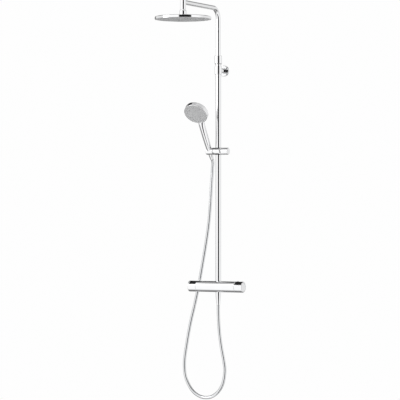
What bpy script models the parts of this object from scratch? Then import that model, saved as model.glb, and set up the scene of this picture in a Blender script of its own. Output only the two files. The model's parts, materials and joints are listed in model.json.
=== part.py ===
"""Rainfall shower column: thermostatic mixer bar, riser, wall bracket, swivelling arm with a
240 mm overhead head on a ball joint, and a hand shower on a sliding, tilting holder with its hose.

Frame: origin in the middle of the wall bracket's back face, -Y out of the wall, +X to the right
for somebody who faces the wall, +Z up. Metres.
"""

import math

import bmesh
import bpy
from mathutils import Matrix, Vector

# ---------------------------------------------------------------- fits shared by neighbours
GAP = 0.0003            # between two faces that touch on the real object
SLIDING_GAP = 0.00035   # radial clearance of a sleeve that slides or turns

# ---------------------------------------------------------------- riser and wall bracket
RISER_OFFSET = 0.062        # wall to riser axis
RISER_RADIUS = 0.0125
RISER_WALL = 0.001
RISER_TOP = 0.045
RISER_NIPPLE_DEPTH = 0.0186    # its shoulder to its top, inside the riser
RISER_NIPPLE_BORE_RADIUS = 0.006
RISER_SEAL_DEPTH = 0.010    # nipple's shoulder to the seal's groove
RISER_SEAL_HEIGHT = 0.0026
RISER_SEAL_WIDTH = 0.0018
WALL_PLATE_RADIUS = 0.020
WALL_PLATE_THICKNESS = 0.004
WALL_SCREW_PITCH = 0.027
WALL_SCREW_HOLE_RADIUS = 0.0025
PLATE_SPIGOT_RADIUS = 0.006
PLATE_SPIGOT_LENGTH = 0.012
ROSETTE_RADIUS = 0.024
ROSETTE_DEPTH = 0.008
ROSETTE_WALL = 0.0015
POST_RADIUS = 0.0115
BRACKET_RING_HEIGHT = 0.036
BRACKET_RING_WALL = 0.0014
BRACKET_LINER_WALL = 0.0010
GRUB_RADIUS = 0.0022
GRUB_LENGTH = 0.004
GRUB_FROM_SPIGOT_END = 0.0045

# ---------------------------------------------------------------- riser to arm coupling
COUPLING_BOTTOM = 0.0287
COUPLING_TOP = 0.064
COUPLING_WALL = 0.0035
COUPLING_RADIUS = RISER_RADIUS + COUPLING_WALL
COUPLING_STEP_ABOVE_RISER = 0.0012
WASHER_THICKNESS = 0.0017
WASHER_WIDTH = 0.0023
WASHER_RADIUS = RISER_RADIUS + WASHER_WIDTH
BUSH_LENGTH = 0.024

# ---------------------------------------------------------------- overhead arm
ARM_RADIUS = 0.01025
ARM_WALL = 0.0015
ARM_REACH = 0.346           # riser axis to head axis
ARM_HEIGHT = 0.270          # axis of the level run
ARM_BEND_RADIUS = 0.050
ARM_DEPTH_IN_RISER = 0.038
BEND_STEPS = 8
FITTING_RADIUS = 0.01225
FITTING_BOTTOM = 0.2385
FITTING_TOP = 0.287
FITTING_WATERWAY_RADIUS = 0.007
ARM_SOCKET_WALL = 0.005     # fitting axis to the floor of the arm's socket

# ---------------------------------------------------------------- ball joint
BALL_CENTRE_Z = 0.2255
BALL_RADIUS = 0.009
BALL_STEM_RADIUS = 0.0045
BALL_BORE_RADIUS = 0.003
BALL_STEM_TOP = 0.250
LINER_WALL = 0.0012
LINER_BOTTOM = 0.0055       # below the ball's centre
LINER_TOP = 0.0030          # above the ball's centre
NUT_RADIUS = 0.015
NUT_TOP = 0.0095            # above the ball's centre
NUT_LIP = 0.0060            # above the ball's centre
NUT_MOUTH_RADIUS = 0.0078
NUT_BOTTOM = 0.0105         # below the ball's centre
BOSS_RADIUS = 0.0124
BOSS_TOP = 0.0010           # below the ball's centre

# ---------------------------------------------------------------- overhead head
HEAD_RADIUS = 0.120
HEAD_TOP = 0.209
HEAD_THICKNESS = 0.0125
HEAD_WALL = 0.0022
HEAD_EDGE = 0.003
HEAD_WATERWAY_RADIUS = 0.005
SPRAY_PLATE_THICKNESS = 0.002
SPRAY_PLATE_RECESS = 0.0005
MAT_THICKNESS = 0.0017
MAT_MARGIN = 0.006
DISTRIBUTOR_THICKNESS = 0.002
FILTER_THICKNESS = 0.0015
FILTER_HOLE_RADIUS = 0.0015
HEAD_DOME = 0.0010          # how far the head's top falls from its boss to its rim

# ---------------------------------------------------------------- slider, knob and holder
SLIDER_Z = -0.355
SLIDER_HALF_HEIGHT = 0.0155
SLIDER_WALL = 0.0065        # in front of the riser and behind it
SLIDER_LEFT_WALL = 0.0115
SLIDER_RIGHT_WALL = 0.004
SLIDER_HALF_DEPTH = RISER_RADIUS + SLIDER_WALL
SLIDER_LEFT = -(RISER_RADIUS + SLIDER_LEFT_WALL)
SLIDER_RIGHT = RISER_RADIUS + SLIDER_RIGHT_WALL
SLIDER_LINER_WALL = 0.0010
KNOB_RADIUS = 0.015
KNOB_LENGTH = 0.033
CLAMP_SCREW_RADIUS = 0.004
CLAMP_SCREW_LENGTH = 0.0145
PAD_LENGTH = 0.0024
PIVOT_X = -0.0415
PIVOT_PIN_RADIUS = 0.005
PIVOT_PIN_IN_SLIDER = 0.0075
HOLDER_RADIUS = 0.015
HOLDER_LEFT_WALL = 0.0145   # pivot to the holder's left end
HOLDER_SLOT_WIDTH = 0.0155
PIVOT_PIN_FROM_CONE = 0.0009
FRICTION_WASHER_THICKNESS = 0.0012
FRICTION_WASHER_RADIUS = 0.011

# ---------------------------------------------------------------- hand shower
HANDSET_LEAN = math.radians(35.3)
CONE_TOP = 0.0142           # along the handle, from the pivot
CONE_LENGTH = 0.0552
CONE_TOP_RADIUS = 0.012
CONE_END_RADIUS = 0.008
CONE_THREAD_RADIUS = 0.0098
CONE_THREAD_DEPTH = 0.013
CONE_END_ROUNDING = 0.0012
HOSE_BORE_RADIUS = 0.005
HANDLE_BORE_RADIUS = 0.0085
HANDLE_BORE_LENGTH = 0.125
WATER_TUBE_RADIUS = 0.0068
WATER_TUBE_WALL = 0.0012
CONNECTOR_LENGTH_IN_HANDLE = 0.018
HAND_HEAD_ALONG = 0.2145    # pivot to the head's axis, along the handle
HAND_HEAD_FORWARD = 0.0087
HAND_HEAD_TILT = math.radians(98.7)
HAND_HEAD_RADIUS = 0.0525
HAND_HEAD_FRONT = 0.0153
HAND_HEAD_BACK = 0.0160
HAND_FACE_FLOOR = 0.0068
FACE_RING_WIDTH = 0.0022
FACE_RING_DEPTH = 0.0040
FACE_RECESS = 0.0004        # ring's front to the spray face's
HAND_FACE_THICKNESS = 0.002
HAND_MAT_THICKNESS = 0.0015

# ---------------------------------------------------------------- thermostatic mixer
MIXER_Z = -0.9478
MIXER_FORWARD = 0.018       # riser axis to the bar's axis
MIXER_RADIUS = 0.0238
MIXER_HALF_BODY = 0.0925
HANDLE_LENGTH = 0.0385
HANDLE_WALL = 0.0048
HANDLE_RIM = 0.0022         # bevel at each handle's outer end
HANDLE_GRIP_DROP = 0.0032   # depth of the flat that is cut along each handle
HANDLE_GRIP_END = 0.0035    # handle's outer end to the end of its flat
HANDLE_GRIP_ANGLE = math.radians(35)    # from straight up, towards the front
HANDLE_SCREW_RADIUS = 0.002
HANDLE_SCREW_LENGTH = 0.007
HANDLE_SCREW_HEAD_RADIUS = 0.009
HANDLE_SCREW_HEAD_HEIGHT = 0.003
CAP_THICKNESS = 0.0025
CAP_LEDGE = 0.0006          # handle's bore to the cap's seat
CAP_RECESS = 0.0005         # handle's end to the cap's face
CARTRIDGE_RADIUS = 0.016
CARTRIDGE_BORE_DEPTH = 0.044
CARTRIDGE_STEM_RADIUS = 0.006
CARTRIDGE_STEM_LENGTH = 0.021
CARTRIDGE_FLANGE = 0.002    # how far it stands out of the bar
CARTRIDGE_NECK = 0.0025     # how much narrower its inner end is
CARTRIDGE_NECK_LENGTH = 0.012
CARTRIDGE_SCREW_DEPTH = 0.009
MIXING_CHANNEL_RADIUS = 0.005
MIXING_CHANNEL_END = 0.030  # bar's end to the channel's
MIXING_CHANNEL_FORWARD = 0.004
CROSS_CHANNEL_RADIUS = 0.002
HUB_WEB_FROM_BODY = 0.012
OUTLET_BLOCK_WALL = 0.0033
OUTLET_BLOCK_RADIUS = RISER_RADIUS + OUTLET_BLOCK_WALL
OUTLET_BLOCK_HALF_HEIGHT = MIXER_RADIUS - 0.0002
RISER_SOCKET_DEPTH = 0.0148
OUTLET_BORE_STEP = 0.0032    # how much narrower the bores are than the riser
OUTLET_BORE_RADIUS = RISER_RADIUS - OUTLET_BORE_STEP
OUTLET_BORE_GAP = 0.003     # mid height of the bar to the end of either outlet bore
BUTTON_RADIUS = 0.0045
BUTTON_HEIGHT = 0.006
BUTTON_PROUD = 0.0018
BUTTON_HOLE_DEPTH = 0.008
BUTTON_ANGLE = math.radians(-24)
INLET_PITCH = 0.150
INLET_BORE_RADIUS = 0.0078
INLET_BORE_FLOOR = 0.010    # bar's axis to the bore's floor
NIPPLE_IN_BAR = 0.002
NIPPLE_FROM_BAR = 0.0045    # how far its narrow end reaches past the back of the bar
OUTLET_NIPPLE_IN_BLOCK = 0.009
NIPPLE_RADIUS = 0.0095
NIPPLE_BORE_RADIUS = 0.0055
NIPPLE_FLANGE_RADIUS = 0.0108
INLET_NUT_ACROSS_FLATS = 0.030
INLET_NUT_LENGTH = 0.018
INLET_NUT_FROM_BAR = 0.0022
INLET_NUT_FRONT = RISER_OFFSET + MIXER_FORWARD - MIXER_RADIUS - INLET_NUT_FROM_BAR
INLET_NUT_BACK = INLET_NUT_FRONT - INLET_NUT_LENGTH
INLET_NUT_BORE_RADIUS = 0.0112
INLET_FLANGE_DEPTH = 0.0115     # nut's open end to the nipple's flange
INLET_FLANGE_THICKNESS = 0.0025
SEAL_THICKNESS = 0.0018

# ---------------------------------------------------------------- hose
HOSE_RADIUS = 0.007
HOSE_NUT_END = 0.0817       # below the bar's axis, where the hose starts
HOSE_NUT_TOP = OUTLET_BLOCK_HALF_HEIGHT + 2 * GAP
HOSE_NUT_LENGTH = HOSE_NUT_END - HOSE_NUT_TOP
HOSE_NUT_COLLAR = 0.012     # straight part above its taper
HOSE_SPACING = 0.028
HOSE_ROUTE = [
    (-0.0415, -0.0373, -0.3900),
    (-0.0416, -0.0316, -0.3980),
    (-0.0436, -0.0267, -0.4090),
    (-0.0465, -0.0235, -0.4250),
    (-0.0482, -0.0225, -0.4500),
    (-0.0520, -0.0240, -0.5050),
    (-0.0555, -0.0275, -0.5900),
    (-0.0625, -0.0310, -0.6800),
    (-0.0755, -0.0338, -0.7700),
    (-0.0905, -0.0360, -0.8560),
    (-0.1070, -0.0382, -0.9450),
    (-0.1255, -0.0402, -1.0300),
    (-0.1450, -0.0425, -1.1100),
    (-0.1625, -0.0452, -1.2050),
    (-0.1725, -0.0475, -1.2800),
    (-0.1690, -0.0498, -1.3380),
    (-0.1545, -0.0518, -1.3760),
    (-0.1300, -0.0538, -1.4110),
    (-0.0980, -0.0556, -1.4320),
    (-0.0640, -0.0572, -1.4385),
    (-0.0300, -0.0590, -1.4310),
    (0.0010, -0.0603, -1.4070),
    (0.0225, -0.0612, -1.3700),
    (0.0318, -0.0617, -1.3180),
    (0.0262, -0.0620, -1.2700),
    (0.0160, -0.0620, -1.2200),
    (0.0080, -0.0620, -1.1700),
    (0.0030, -0.0620, -1.1200),
    (0.0008, -0.0620, -1.0750),
    (0.0000, -0.0620, -1.0500),
    (0.0000, -0.0620, -1.0298),
]

# ---------------------------------------------------------------- how finely round shapes are cut
DISC_SEGMENTS = 40
ROUND_SEGMENTS = 20
INNER_SEGMENTS = 12
SCREW_SEGMENTS = 8
ARC_STEPS = 3
BAR_SEGMENTS = 24
HAND_HEAD_SEGMENTS = 32


# ================================================================ materials
def material(name, colour, roughness, metallic):
    made = bpy.data.materials.new(name)
    made.use_nodes = True
    shader = made.node_tree.nodes["Principled BSDF"]
    shader.inputs["Base Color"].default_value = (*colour, 1.0)
    shader.inputs["Roughness"].default_value = roughness
    shader.inputs["Metallic"].default_value = metallic
    return made


def clear_scene():
    for old in list(bpy.data.objects):
        bpy.data.objects.remove(old, do_unlink=True)


clear_scene()
CHROME = material("chrome", (0.90, 0.90, 0.91), 0.06, 1.0)
SPRAY_GREY = material("spray_grey", (0.50, 0.51, 0.52), 0.45, 0.0)
SILICONE = material("silicone", (0.35, 0.36, 0.38), 0.60, 0.0)
BRASS = material("brass", (0.72, 0.55, 0.25), 0.35, 1.0)
DARK_PLASTIC = material("dark_plastic", (0.05, 0.05, 0.055), 0.50, 0.0)
WHITE_PLASTIC = material("white_plastic", (0.85, 0.85, 0.84), 0.40, 0.0)
RUBBER = material("rubber", (0.03, 0.03, 0.03), 0.75, 0.0)
STEEL = material("steel", (0.60, 0.60, 0.62), 0.30, 1.0)
HOSE_SILVER = material("hose_silver", (0.78, 0.79, 0.80), 0.25, 0.9)


# ================================================================ shape helpers
ALONG_X = Matrix.Rotation(math.radians(90), 4, "Y")
ALONG_BACK_X = Matrix.Rotation(math.radians(-90), 4, "Y")
ALONG_Y = Matrix.Rotation(math.radians(-90), 4, "X")
ALONG_Z = Matrix.Identity(4)


def place(at, turn=ALONG_Z):
    """Where a piece sits: a turn, then a move."""
    return Matrix.Translation(Vector(at)) @ turn


def finish_mesh(name, shape, finish, where, parent=None):
    """Makes the object, with every face turned outwards."""
    bmesh.ops.remove_doubles(shape, verts=shape.verts, dist=1e-6)
    bmesh.ops.recalc_face_normals(shape, faces=shape.faces)
    if shape.calc_volume(signed=True) < 0:
        bmesh.ops.reverse_faces(shape, faces=shape.faces)
    mesh = bpy.data.meshes.new(name)
    shape.to_mesh(mesh)
    shape.free()
    mesh.shade_smooth()
    mesh.set_sharp_from_angle(angle=math.radians(30))
    mesh.materials.append(finish)
    made = bpy.data.objects.new(name, mesh)
    bpy.context.scene.collection.objects.link(made)
    if parent is not None:
        made.parent = parent
    made.matrix_local = where
    return made


def turned(name, profile, finish, where, segments=ROUND_SEGMENTS, parent=None):
    """A turned piece: the closed outline of (radius, height) points, spun about its height axis."""
    shape = bmesh.new()
    corners = [shape.verts.new((radius, 0.0, height)) for radius, height in profile]
    edges = [shape.edges.new((corners[i - 1], corners[i])) for i in range(1, len(corners))]
    if min(profile[0][0], profile[-1][0]) > 0:
        edges.append(shape.edges.new((corners[-1], corners[0])))
    bmesh.ops.spin(
        shape,
        geom=corners + edges,
        cent=(0, 0, 0),
        axis=(0, 0, 1),
        angle=math.tau,
        steps=segments,
        use_merge=True,
    )
    return finish_mesh(name, shape, finish, where, parent)


def tube(outer, inner, low, high, edge=0.0):
    """The outline of a ring or tube, with an optional small chamfer on its two outer edges."""
    if edge == 0.0:
        return [(inner, low), (outer, low), (outer, high), (inner, high)]
    return [
        (inner, low),
        (outer - edge, low),
        (outer, low + edge),
        (outer, high - edge),
        (outer - edge, high),
        (inner, high),
    ]


def rod(radius, low, high, edge=0.0):
    """The outline of a solid rod."""
    if edge == 0.0:
        return [(0, low), (radius, low), (radius, high), (0, high)]
    return [
        (0, low),
        (radius - edge, low),
        (radius, low + edge),
        (radius, high - edge),
        (radius - edge, high),
        (0, high),
    ]


def arc(radius, from_height, to_height, centre=0.0, steps=ARC_STEPS):
    """Points of a circle about the turning axis's height `centre`, from one height to another."""
    first = math.asin(from_height / radius)
    last = math.asin(to_height / radius)
    angles = [first + (last - first) * i / steps for i in range(steps + 1)]
    return [(radius * math.cos(t), centre + radius * math.sin(t)) for t in angles]


def cutter(name, profile, where, segments=ROUND_SEGMENTS, parent=None):
    """A turned piece that only cuts others."""
    made = turned(name, profile, DARK_PLASTIC, where, segments, parent)
    made.hide_render = True
    made.display_type = "WIRE"
    return made


def box_cutter(name, low, high, where, parent=None):
    shape = bmesh.new()
    bmesh.ops.create_cube(shape, size=1.0)
    size = Vector(high) - Vector(low)
    middle = (Vector(high) + Vector(low)) / 2
    bmesh.ops.scale(shape, vec=size, verts=shape.verts)
    bmesh.ops.translate(shape, vec=middle, verts=shape.verts)
    made = finish_mesh(name, shape, DARK_PLASTIC, where, parent)
    made.hide_render = True
    made.display_type = "WIRE"
    return made


def boolean(piece, tool, operation="DIFFERENCE"):
    modifier = piece.modifiers.new(operation.lower() + "_" + tool.name, "BOOLEAN")
    modifier.operation = operation
    modifier.object = tool
    modifier.solver = "EXACT"


def axis_empty(name, where, parent=None):
    """An empty on a joint's axis, which carries the moving pieces."""
    made = bpy.data.objects.new(name, None)
    made.empty_display_size = 0.02
    bpy.context.scene.collection.objects.link(made)
    if parent is not None:
        made.parent = parent
    made.matrix_local = where
    return made


def lofted(name, sections, finish, where, segments=ROUND_SEGMENTS, parent=None):
    """A closed skin through ovals (height, half width, half depth, shift in Y)."""
    shape = bmesh.new()
    rings = []
    for height, half_width, half_depth, shift in sections:
        ring = []
        for i in range(segments):
            turn = math.tau * i / segments
            spot = (half_width * math.cos(turn), shift + half_depth * math.sin(turn), height)
            ring.append(shape.verts.new(spot))
        rings.append(ring)
    for lower, upper in zip(rings, rings[1:]):
        for i in range(segments):
            j = (i + 1) % segments
            shape.faces.new((lower[i], lower[j], upper[j], upper[i]))
    shape.faces.new(rings[0])
    shape.faces.new(rings[-1])
    return finish_mesh(name, shape, finish, where, parent)


def bent_pipe(name, stations, outer, inner, finish, where, segments, parent=None):
    """A pipe through stations (y, z, slope) of a path in the YZ plane, open at both ends."""
    shape = bmesh.new()
    rings = []
    for y, z, slope in stations:
        across = Vector((0.0, math.cos(slope), math.sin(slope)))
        both = []
        for radius in (outer, inner):
            ring = []
            for i in range(segments):
                turn = math.tau * i / segments
                side = Vector((math.cos(turn), 0.0, 0.0)) + across * math.sin(turn)
                ring.append(shape.verts.new(Vector((0.0, y, z)) + side * radius))
            both.append(ring)
        rings.append(both)
    for (outer_a, inner_a), (outer_b, inner_b) in zip(rings, rings[1:]):
        for i in range(segments):
            j = (i + 1) % segments
            shape.faces.new((outer_a[i], outer_a[j], outer_b[j], outer_b[i]))
            shape.faces.new((inner_a[j], inner_a[i], inner_b[i], inner_b[j]))
    for outer_end, inner_end in (rings[0], rings[-1]):
        for i in range(segments):
            j = (i + 1) % segments
            shape.faces.new((outer_end[i], outer_end[j], inner_end[j], inner_end[i]))
    return finish_mesh(name, shape, finish, where, parent)


# ================================================================ wall bracket
def wall_bracket():
    """Plate on the wall, rosette over it, post out to the riser, and the ring that holds the riser."""
    out = place((0, 0, 0), Matrix.Rotation(math.radians(90), 4, "X"))
    plate = turned(
        "wall_plate",
        [
            (0, 0),
            (WALL_PLATE_RADIUS, 0),
            (WALL_PLATE_RADIUS, WALL_PLATE_THICKNESS),
            (PLATE_SPIGOT_RADIUS, WALL_PLATE_THICKNESS),
            (PLATE_SPIGOT_RADIUS, WALL_PLATE_THICKNESS + PLATE_SPIGOT_LENGTH),
            (0, WALL_PLATE_THICKNESS + PLATE_SPIGOT_LENGTH),
        ],
        STEEL,
        out,
    )
    for side in (-1, 1):
        hole = cutter(
            f"cut_wall_screw_{side}",
            rod(WALL_SCREW_HOLE_RADIUS, -0.002, WALL_PLATE_THICKNESS + 0.002),
            place((0, 0, side * WALL_SCREW_PITCH / 2), Matrix.Rotation(math.radians(90), 4, "X")),
            INNER_SEGMENTS,
        )
        boolean(plate, hole)

    turned(
        "wall_rosette",
        [
            (ROSETTE_RADIUS - ROSETTE_WALL, 0),
            (ROSETTE_RADIUS, 0),
            (ROSETTE_RADIUS, ROSETTE_DEPTH - 0.002),
            (ROSETTE_RADIUS - 0.0006, ROSETTE_DEPTH - 0.0006),
            (ROSETTE_RADIUS - 0.002, ROSETTE_DEPTH),
            (POST_RADIUS + GAP, ROSETTE_DEPTH),
            (POST_RADIUS + GAP, ROSETTE_DEPTH - ROSETTE_WALL),
            (ROSETTE_RADIUS - ROSETTE_WALL, ROSETTE_DEPTH - ROSETTE_WALL),
        ],
        CHROME,
        out,
        ROUND_SEGMENTS + 8,
    )

    post_start = WALL_PLATE_THICKNESS + GAP
    spigot_end = WALL_PLATE_THICKNESS + PLATE_SPIGOT_LENGTH
    post = turned(
        "bracket_post",
        [
            (PLATE_SPIGOT_RADIUS + GAP, post_start),
            (POST_RADIUS, post_start),
            (POST_RADIUS, RISER_OFFSET - RISER_RADIUS),
            (0, RISER_OFFSET - RISER_RADIUS),
            (0, spigot_end + GAP),
            (PLATE_SPIGOT_RADIUS + GAP, spigot_end + GAP),
        ],
        CHROME,
        out,
    )
    boolean(
        post,
        cutter(
            "cut_post_saddle",
            rod(bracket_ring_radius() + GAP, -0.03, 0.03),
            place((0, -RISER_OFFSET, 0)),
        ),
    )
    grub_y = -(spigot_end - GRUB_FROM_SPIGOT_END)
    boolean(
        post,
        cutter(
            "cut_post_grub",
            rod(GRUB_RADIUS + GAP, -POST_RADIUS - 0.002, -PLATE_SPIGOT_RADIUS),
            place((0, grub_y, 0)),
            SCREW_SEGMENTS,
        ),
    )
    grub_top = -PLATE_SPIGOT_RADIUS - GAP
    turned(
        "bracket_grub_screw",
        rod(GRUB_RADIUS, grub_top - GRUB_LENGTH, grub_top, 0.0004),
        STEEL,
        place((0, grub_y, 0)),
        SCREW_SEGMENTS,
    )

    half = BRACKET_RING_HEIGHT / 2
    turned(
        "bracket_ring",
        tube(bracket_ring_radius(), bracket_liner_radius() + GAP, -half, half, 0.0008),
        CHROME,
        place((0, -RISER_OFFSET, 0)),
        ROUND_SEGMENTS,
    )
    turned(
        "bracket_liner",
        tube(bracket_liner_radius(), RISER_RADIUS + GAP, -half, half),
        DARK_PLASTIC,
        place((0, -RISER_OFFSET, 0)),
        ROUND_SEGMENTS,
    )


def bracket_liner_radius():
    return RISER_RADIUS + GAP + BRACKET_LINER_WALL


def bracket_ring_radius():
    return bracket_liner_radius() + GAP + BRACKET_RING_WALL


# ================================================================ riser, its foot and its coupling
def mixer_point(x, y, z):
    """A point given from the middle of the mixer bar."""
    return (x, -RISER_OFFSET - MIXER_FORWARD + y, MIXER_Z + z)


def riser_foot_z():
    return MIXER_Z + OUTLET_BLOCK_HALF_HEIGHT - RISER_SOCKET_DEPTH + GAP


def riser():
    foot = riser_foot_z()
    bore = RISER_RADIUS - RISER_WALL
    turned(
        "riser_pipe",
        tube(RISER_RADIUS, bore, foot, RISER_TOP),
        CHROME,
        place((0, -RISER_OFFSET, 0)),
    )
    shoulder = foot + GAP
    nipple_low = MIXER_Z + OUTLET_BORE_GAP + GAP
    nipple_high = shoulder + RISER_NIPPLE_DEPTH
    groove_low = shoulder + RISER_SEAL_DEPTH
    groove_high = groove_low + RISER_SEAL_HEIGHT
    nipple_radius = bore - GAP
    groove_radius = nipple_radius - RISER_SEAL_WIDTH
    turned(
        "riser_nipple",
        [
            (RISER_NIPPLE_BORE_RADIUS, nipple_low),
            (OUTLET_BORE_RADIUS - GAP, nipple_low),
            (OUTLET_BORE_RADIUS - GAP, shoulder),
            (nipple_radius, shoulder),
            (nipple_radius, groove_low),
            (groove_radius, groove_low),
            (groove_radius, groove_high),
            (nipple_radius, groove_high),
            (nipple_radius, nipple_high),
            (RISER_NIPPLE_BORE_RADIUS, nipple_high),
        ],
        BRASS,
        place((0, -RISER_OFFSET, 0)),
        INNER_SEGMENTS,
    )
    turned(
        "riser_seal",
        tube(nipple_radius - 0.0001, groove_radius + GAP, groove_low + GAP, groove_high - GAP, 0.0004),
        RUBBER,
        place((0, -RISER_OFFSET, 0)),
        INNER_SEGMENTS,
    )


def coupling():
    """The sleeve that joins the riser to the arm, its washer, its lock screw and the arm's bush."""
    axis = place((0, -RISER_OFFSET, 0))
    step = RISER_TOP + COUPLING_STEP_ABOVE_RISER
    sleeve = turned(
        "coupling_sleeve",
        [
            (RISER_RADIUS + GAP, COUPLING_BOTTOM),
            (COUPLING_RADIUS - 0.0006, COUPLING_BOTTOM),
            (COUPLING_RADIUS, COUPLING_BOTTOM + 0.0006),
            (COUPLING_RADIUS, COUPLING_TOP - 0.0015),
            (COUPLING_RADIUS - 0.0015, COUPLING_TOP),
            (ARM_RADIUS + SLIDING_GAP, COUPLING_TOP),
            (ARM_RADIUS + SLIDING_GAP, step),
            (RISER_RADIUS + GAP, step),
        ],
        CHROME,
        axis,
        ROUND_SEGMENTS + 4,
    )
    grub_z = (COUPLING_BOTTOM + RISER_TOP) / 2
    grub_place = place((0, -RISER_OFFSET, grub_z), ALONG_Y)
    boolean(
        sleeve,
        cutter(
            "cut_coupling_grub",
            rod(GRUB_RADIUS + GAP, RISER_RADIUS - 0.0005, COUPLING_RADIUS + 0.002),
            grub_place,
            SCREW_SEGMENTS,
        ),
    )
    turned(
        "coupling_grub_screw",
        rod(GRUB_RADIUS, RISER_RADIUS + GAP, COUPLING_RADIUS - 0.0004, 0.0003),
        STEEL,
        grub_place,
        SCREW_SEGMENTS,
    )
    turned(
        "coupling_washer",
        tube(
            WASHER_RADIUS,
            RISER_RADIUS + GAP,
            COUPLING_BOTTOM - GAP - WASHER_THICKNESS,
            COUPLING_BOTTOM - GAP,
        ),
        DARK_PLASTIC,
        axis,
    )
    bush_top = RISER_TOP - GAP
    turned(
        "arm_bush",
        tube(
            RISER_RADIUS - RISER_WALL - GAP,
            ARM_RADIUS + SLIDING_GAP,
            bush_top - BUSH_LENGTH,
            bush_top,
        ),
        DARK_PLASTIC,
        axis,
        ROUND_SEGMENTS,
    )


# ================================================================ arm
def arm_stations():
    """(y, z, slope) along the arm, from its foot in the riser, round the bend, to the end fitting."""
    foot = RISER_TOP - ARM_DEPTH_IN_RISER
    bend_start = ARM_HEIGHT - ARM_BEND_RADIUS
    stations = [(0.0, foot, 0.0)]
    for i in range(BEND_STEPS + 1):
        turn = math.radians(90) * i / BEND_STEPS
        y = -ARM_BEND_RADIUS * (1 - math.cos(turn))
        z = bend_start + ARM_BEND_RADIUS * math.sin(turn)
        stations.append((y, z, turn))
    stations.append((-ARM_REACH + ARM_SOCKET_WALL + GAP, ARM_HEIGHT, math.radians(90)))
    return stations


def arm(swivel):
    bent_pipe(
        "shower_arm",
        arm_stations(),
        ARM_RADIUS,
        ARM_RADIUS - ARM_WALL,
        CHROME,
        place((0, 0, 0)),
        20,
        swivel,
    )
    head_axis = (0, -ARM_REACH, 0)
    fitting = turned(
        "arm_end_fitting",
        [
            (0, ARM_HEIGHT - 0.006),
            (FITTING_WATERWAY_RADIUS, ARM_HEIGHT - 0.006),
            (FITTING_WATERWAY_RADIUS, BALL_STEM_TOP + GAP),
            (BALL_STEM_RADIUS + GAP, BALL_STEM_TOP + GAP),
            (BALL_STEM_RADIUS + GAP, FITTING_BOTTOM),
            (FITTING_RADIUS - 0.0008, FITTING_BOTTOM),
            (FITTING_RADIUS, FITTING_BOTTOM + 0.0008),
            (FITTING_RADIUS, FITTING_TOP - 0.003),
            (FITTING_RADIUS - 0.0009, FITTING_TOP - 0.0009),
            (FITTING_RADIUS - 0.003, FITTING_TOP),
            (0, FITTING_TOP),
        ],
        CHROME,
        place(head_axis),
        ROUND_SEGMENTS,
        swivel,
    )
    boolean(
        fitting,
        cutter(
            "cut_arm_socket",
            rod(ARM_RADIUS + GAP, ARM_SOCKET_WALL, FITTING_RADIUS + 0.004),
            place((0, -ARM_REACH, ARM_HEIGHT), ALONG_Y),
            20,
            swivel,
        ),
    )
    boolean(
        fitting,
        cutter(
            "cut_arm_waterway",
            rod(FITTING_WATERWAY_RADIUS - 0.001, -0.001, ARM_SOCKET_WALL + 0.001),
            place((0, -ARM_REACH, ARM_HEIGHT - 0.002), ALONG_Y),
            INNER_SEGMENTS,
            swivel,
        ),
    )
    neck = math.sqrt(BALL_RADIUS**2 - BALL_STEM_RADIUS**2)
    foot = -math.sqrt(BALL_RADIUS**2 - BALL_BORE_RADIUS**2)
    ball_outline = arc(BALL_RADIUS, foot, neck, BALL_CENTRE_Z, 6)
    ball_outline += [(BALL_STEM_RADIUS, BALL_STEM_TOP), (BALL_BORE_RADIUS, BALL_STEM_TOP)]
    turned("ball_stem", ball_outline, CHROME, place(head_axis), ROUND_SEGMENTS, swivel)


# ================================================================ ball joint and overhead head
def ball_liner(tilt):
    """The plastic ring between the ball and its housing, round on both sides."""
    inner = arc(BALL_RADIUS + GAP, -LINER_BOTTOM, LINER_TOP)
    outer = arc(BALL_RADIUS + GAP + LINER_WALL, -LINER_BOTTOM, LINER_TOP)
    turned("ball_liner", inner + outer[::-1], WHITE_PLASTIC, place((0, 0, 0)), ROUND_SEGMENTS, tilt)


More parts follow.
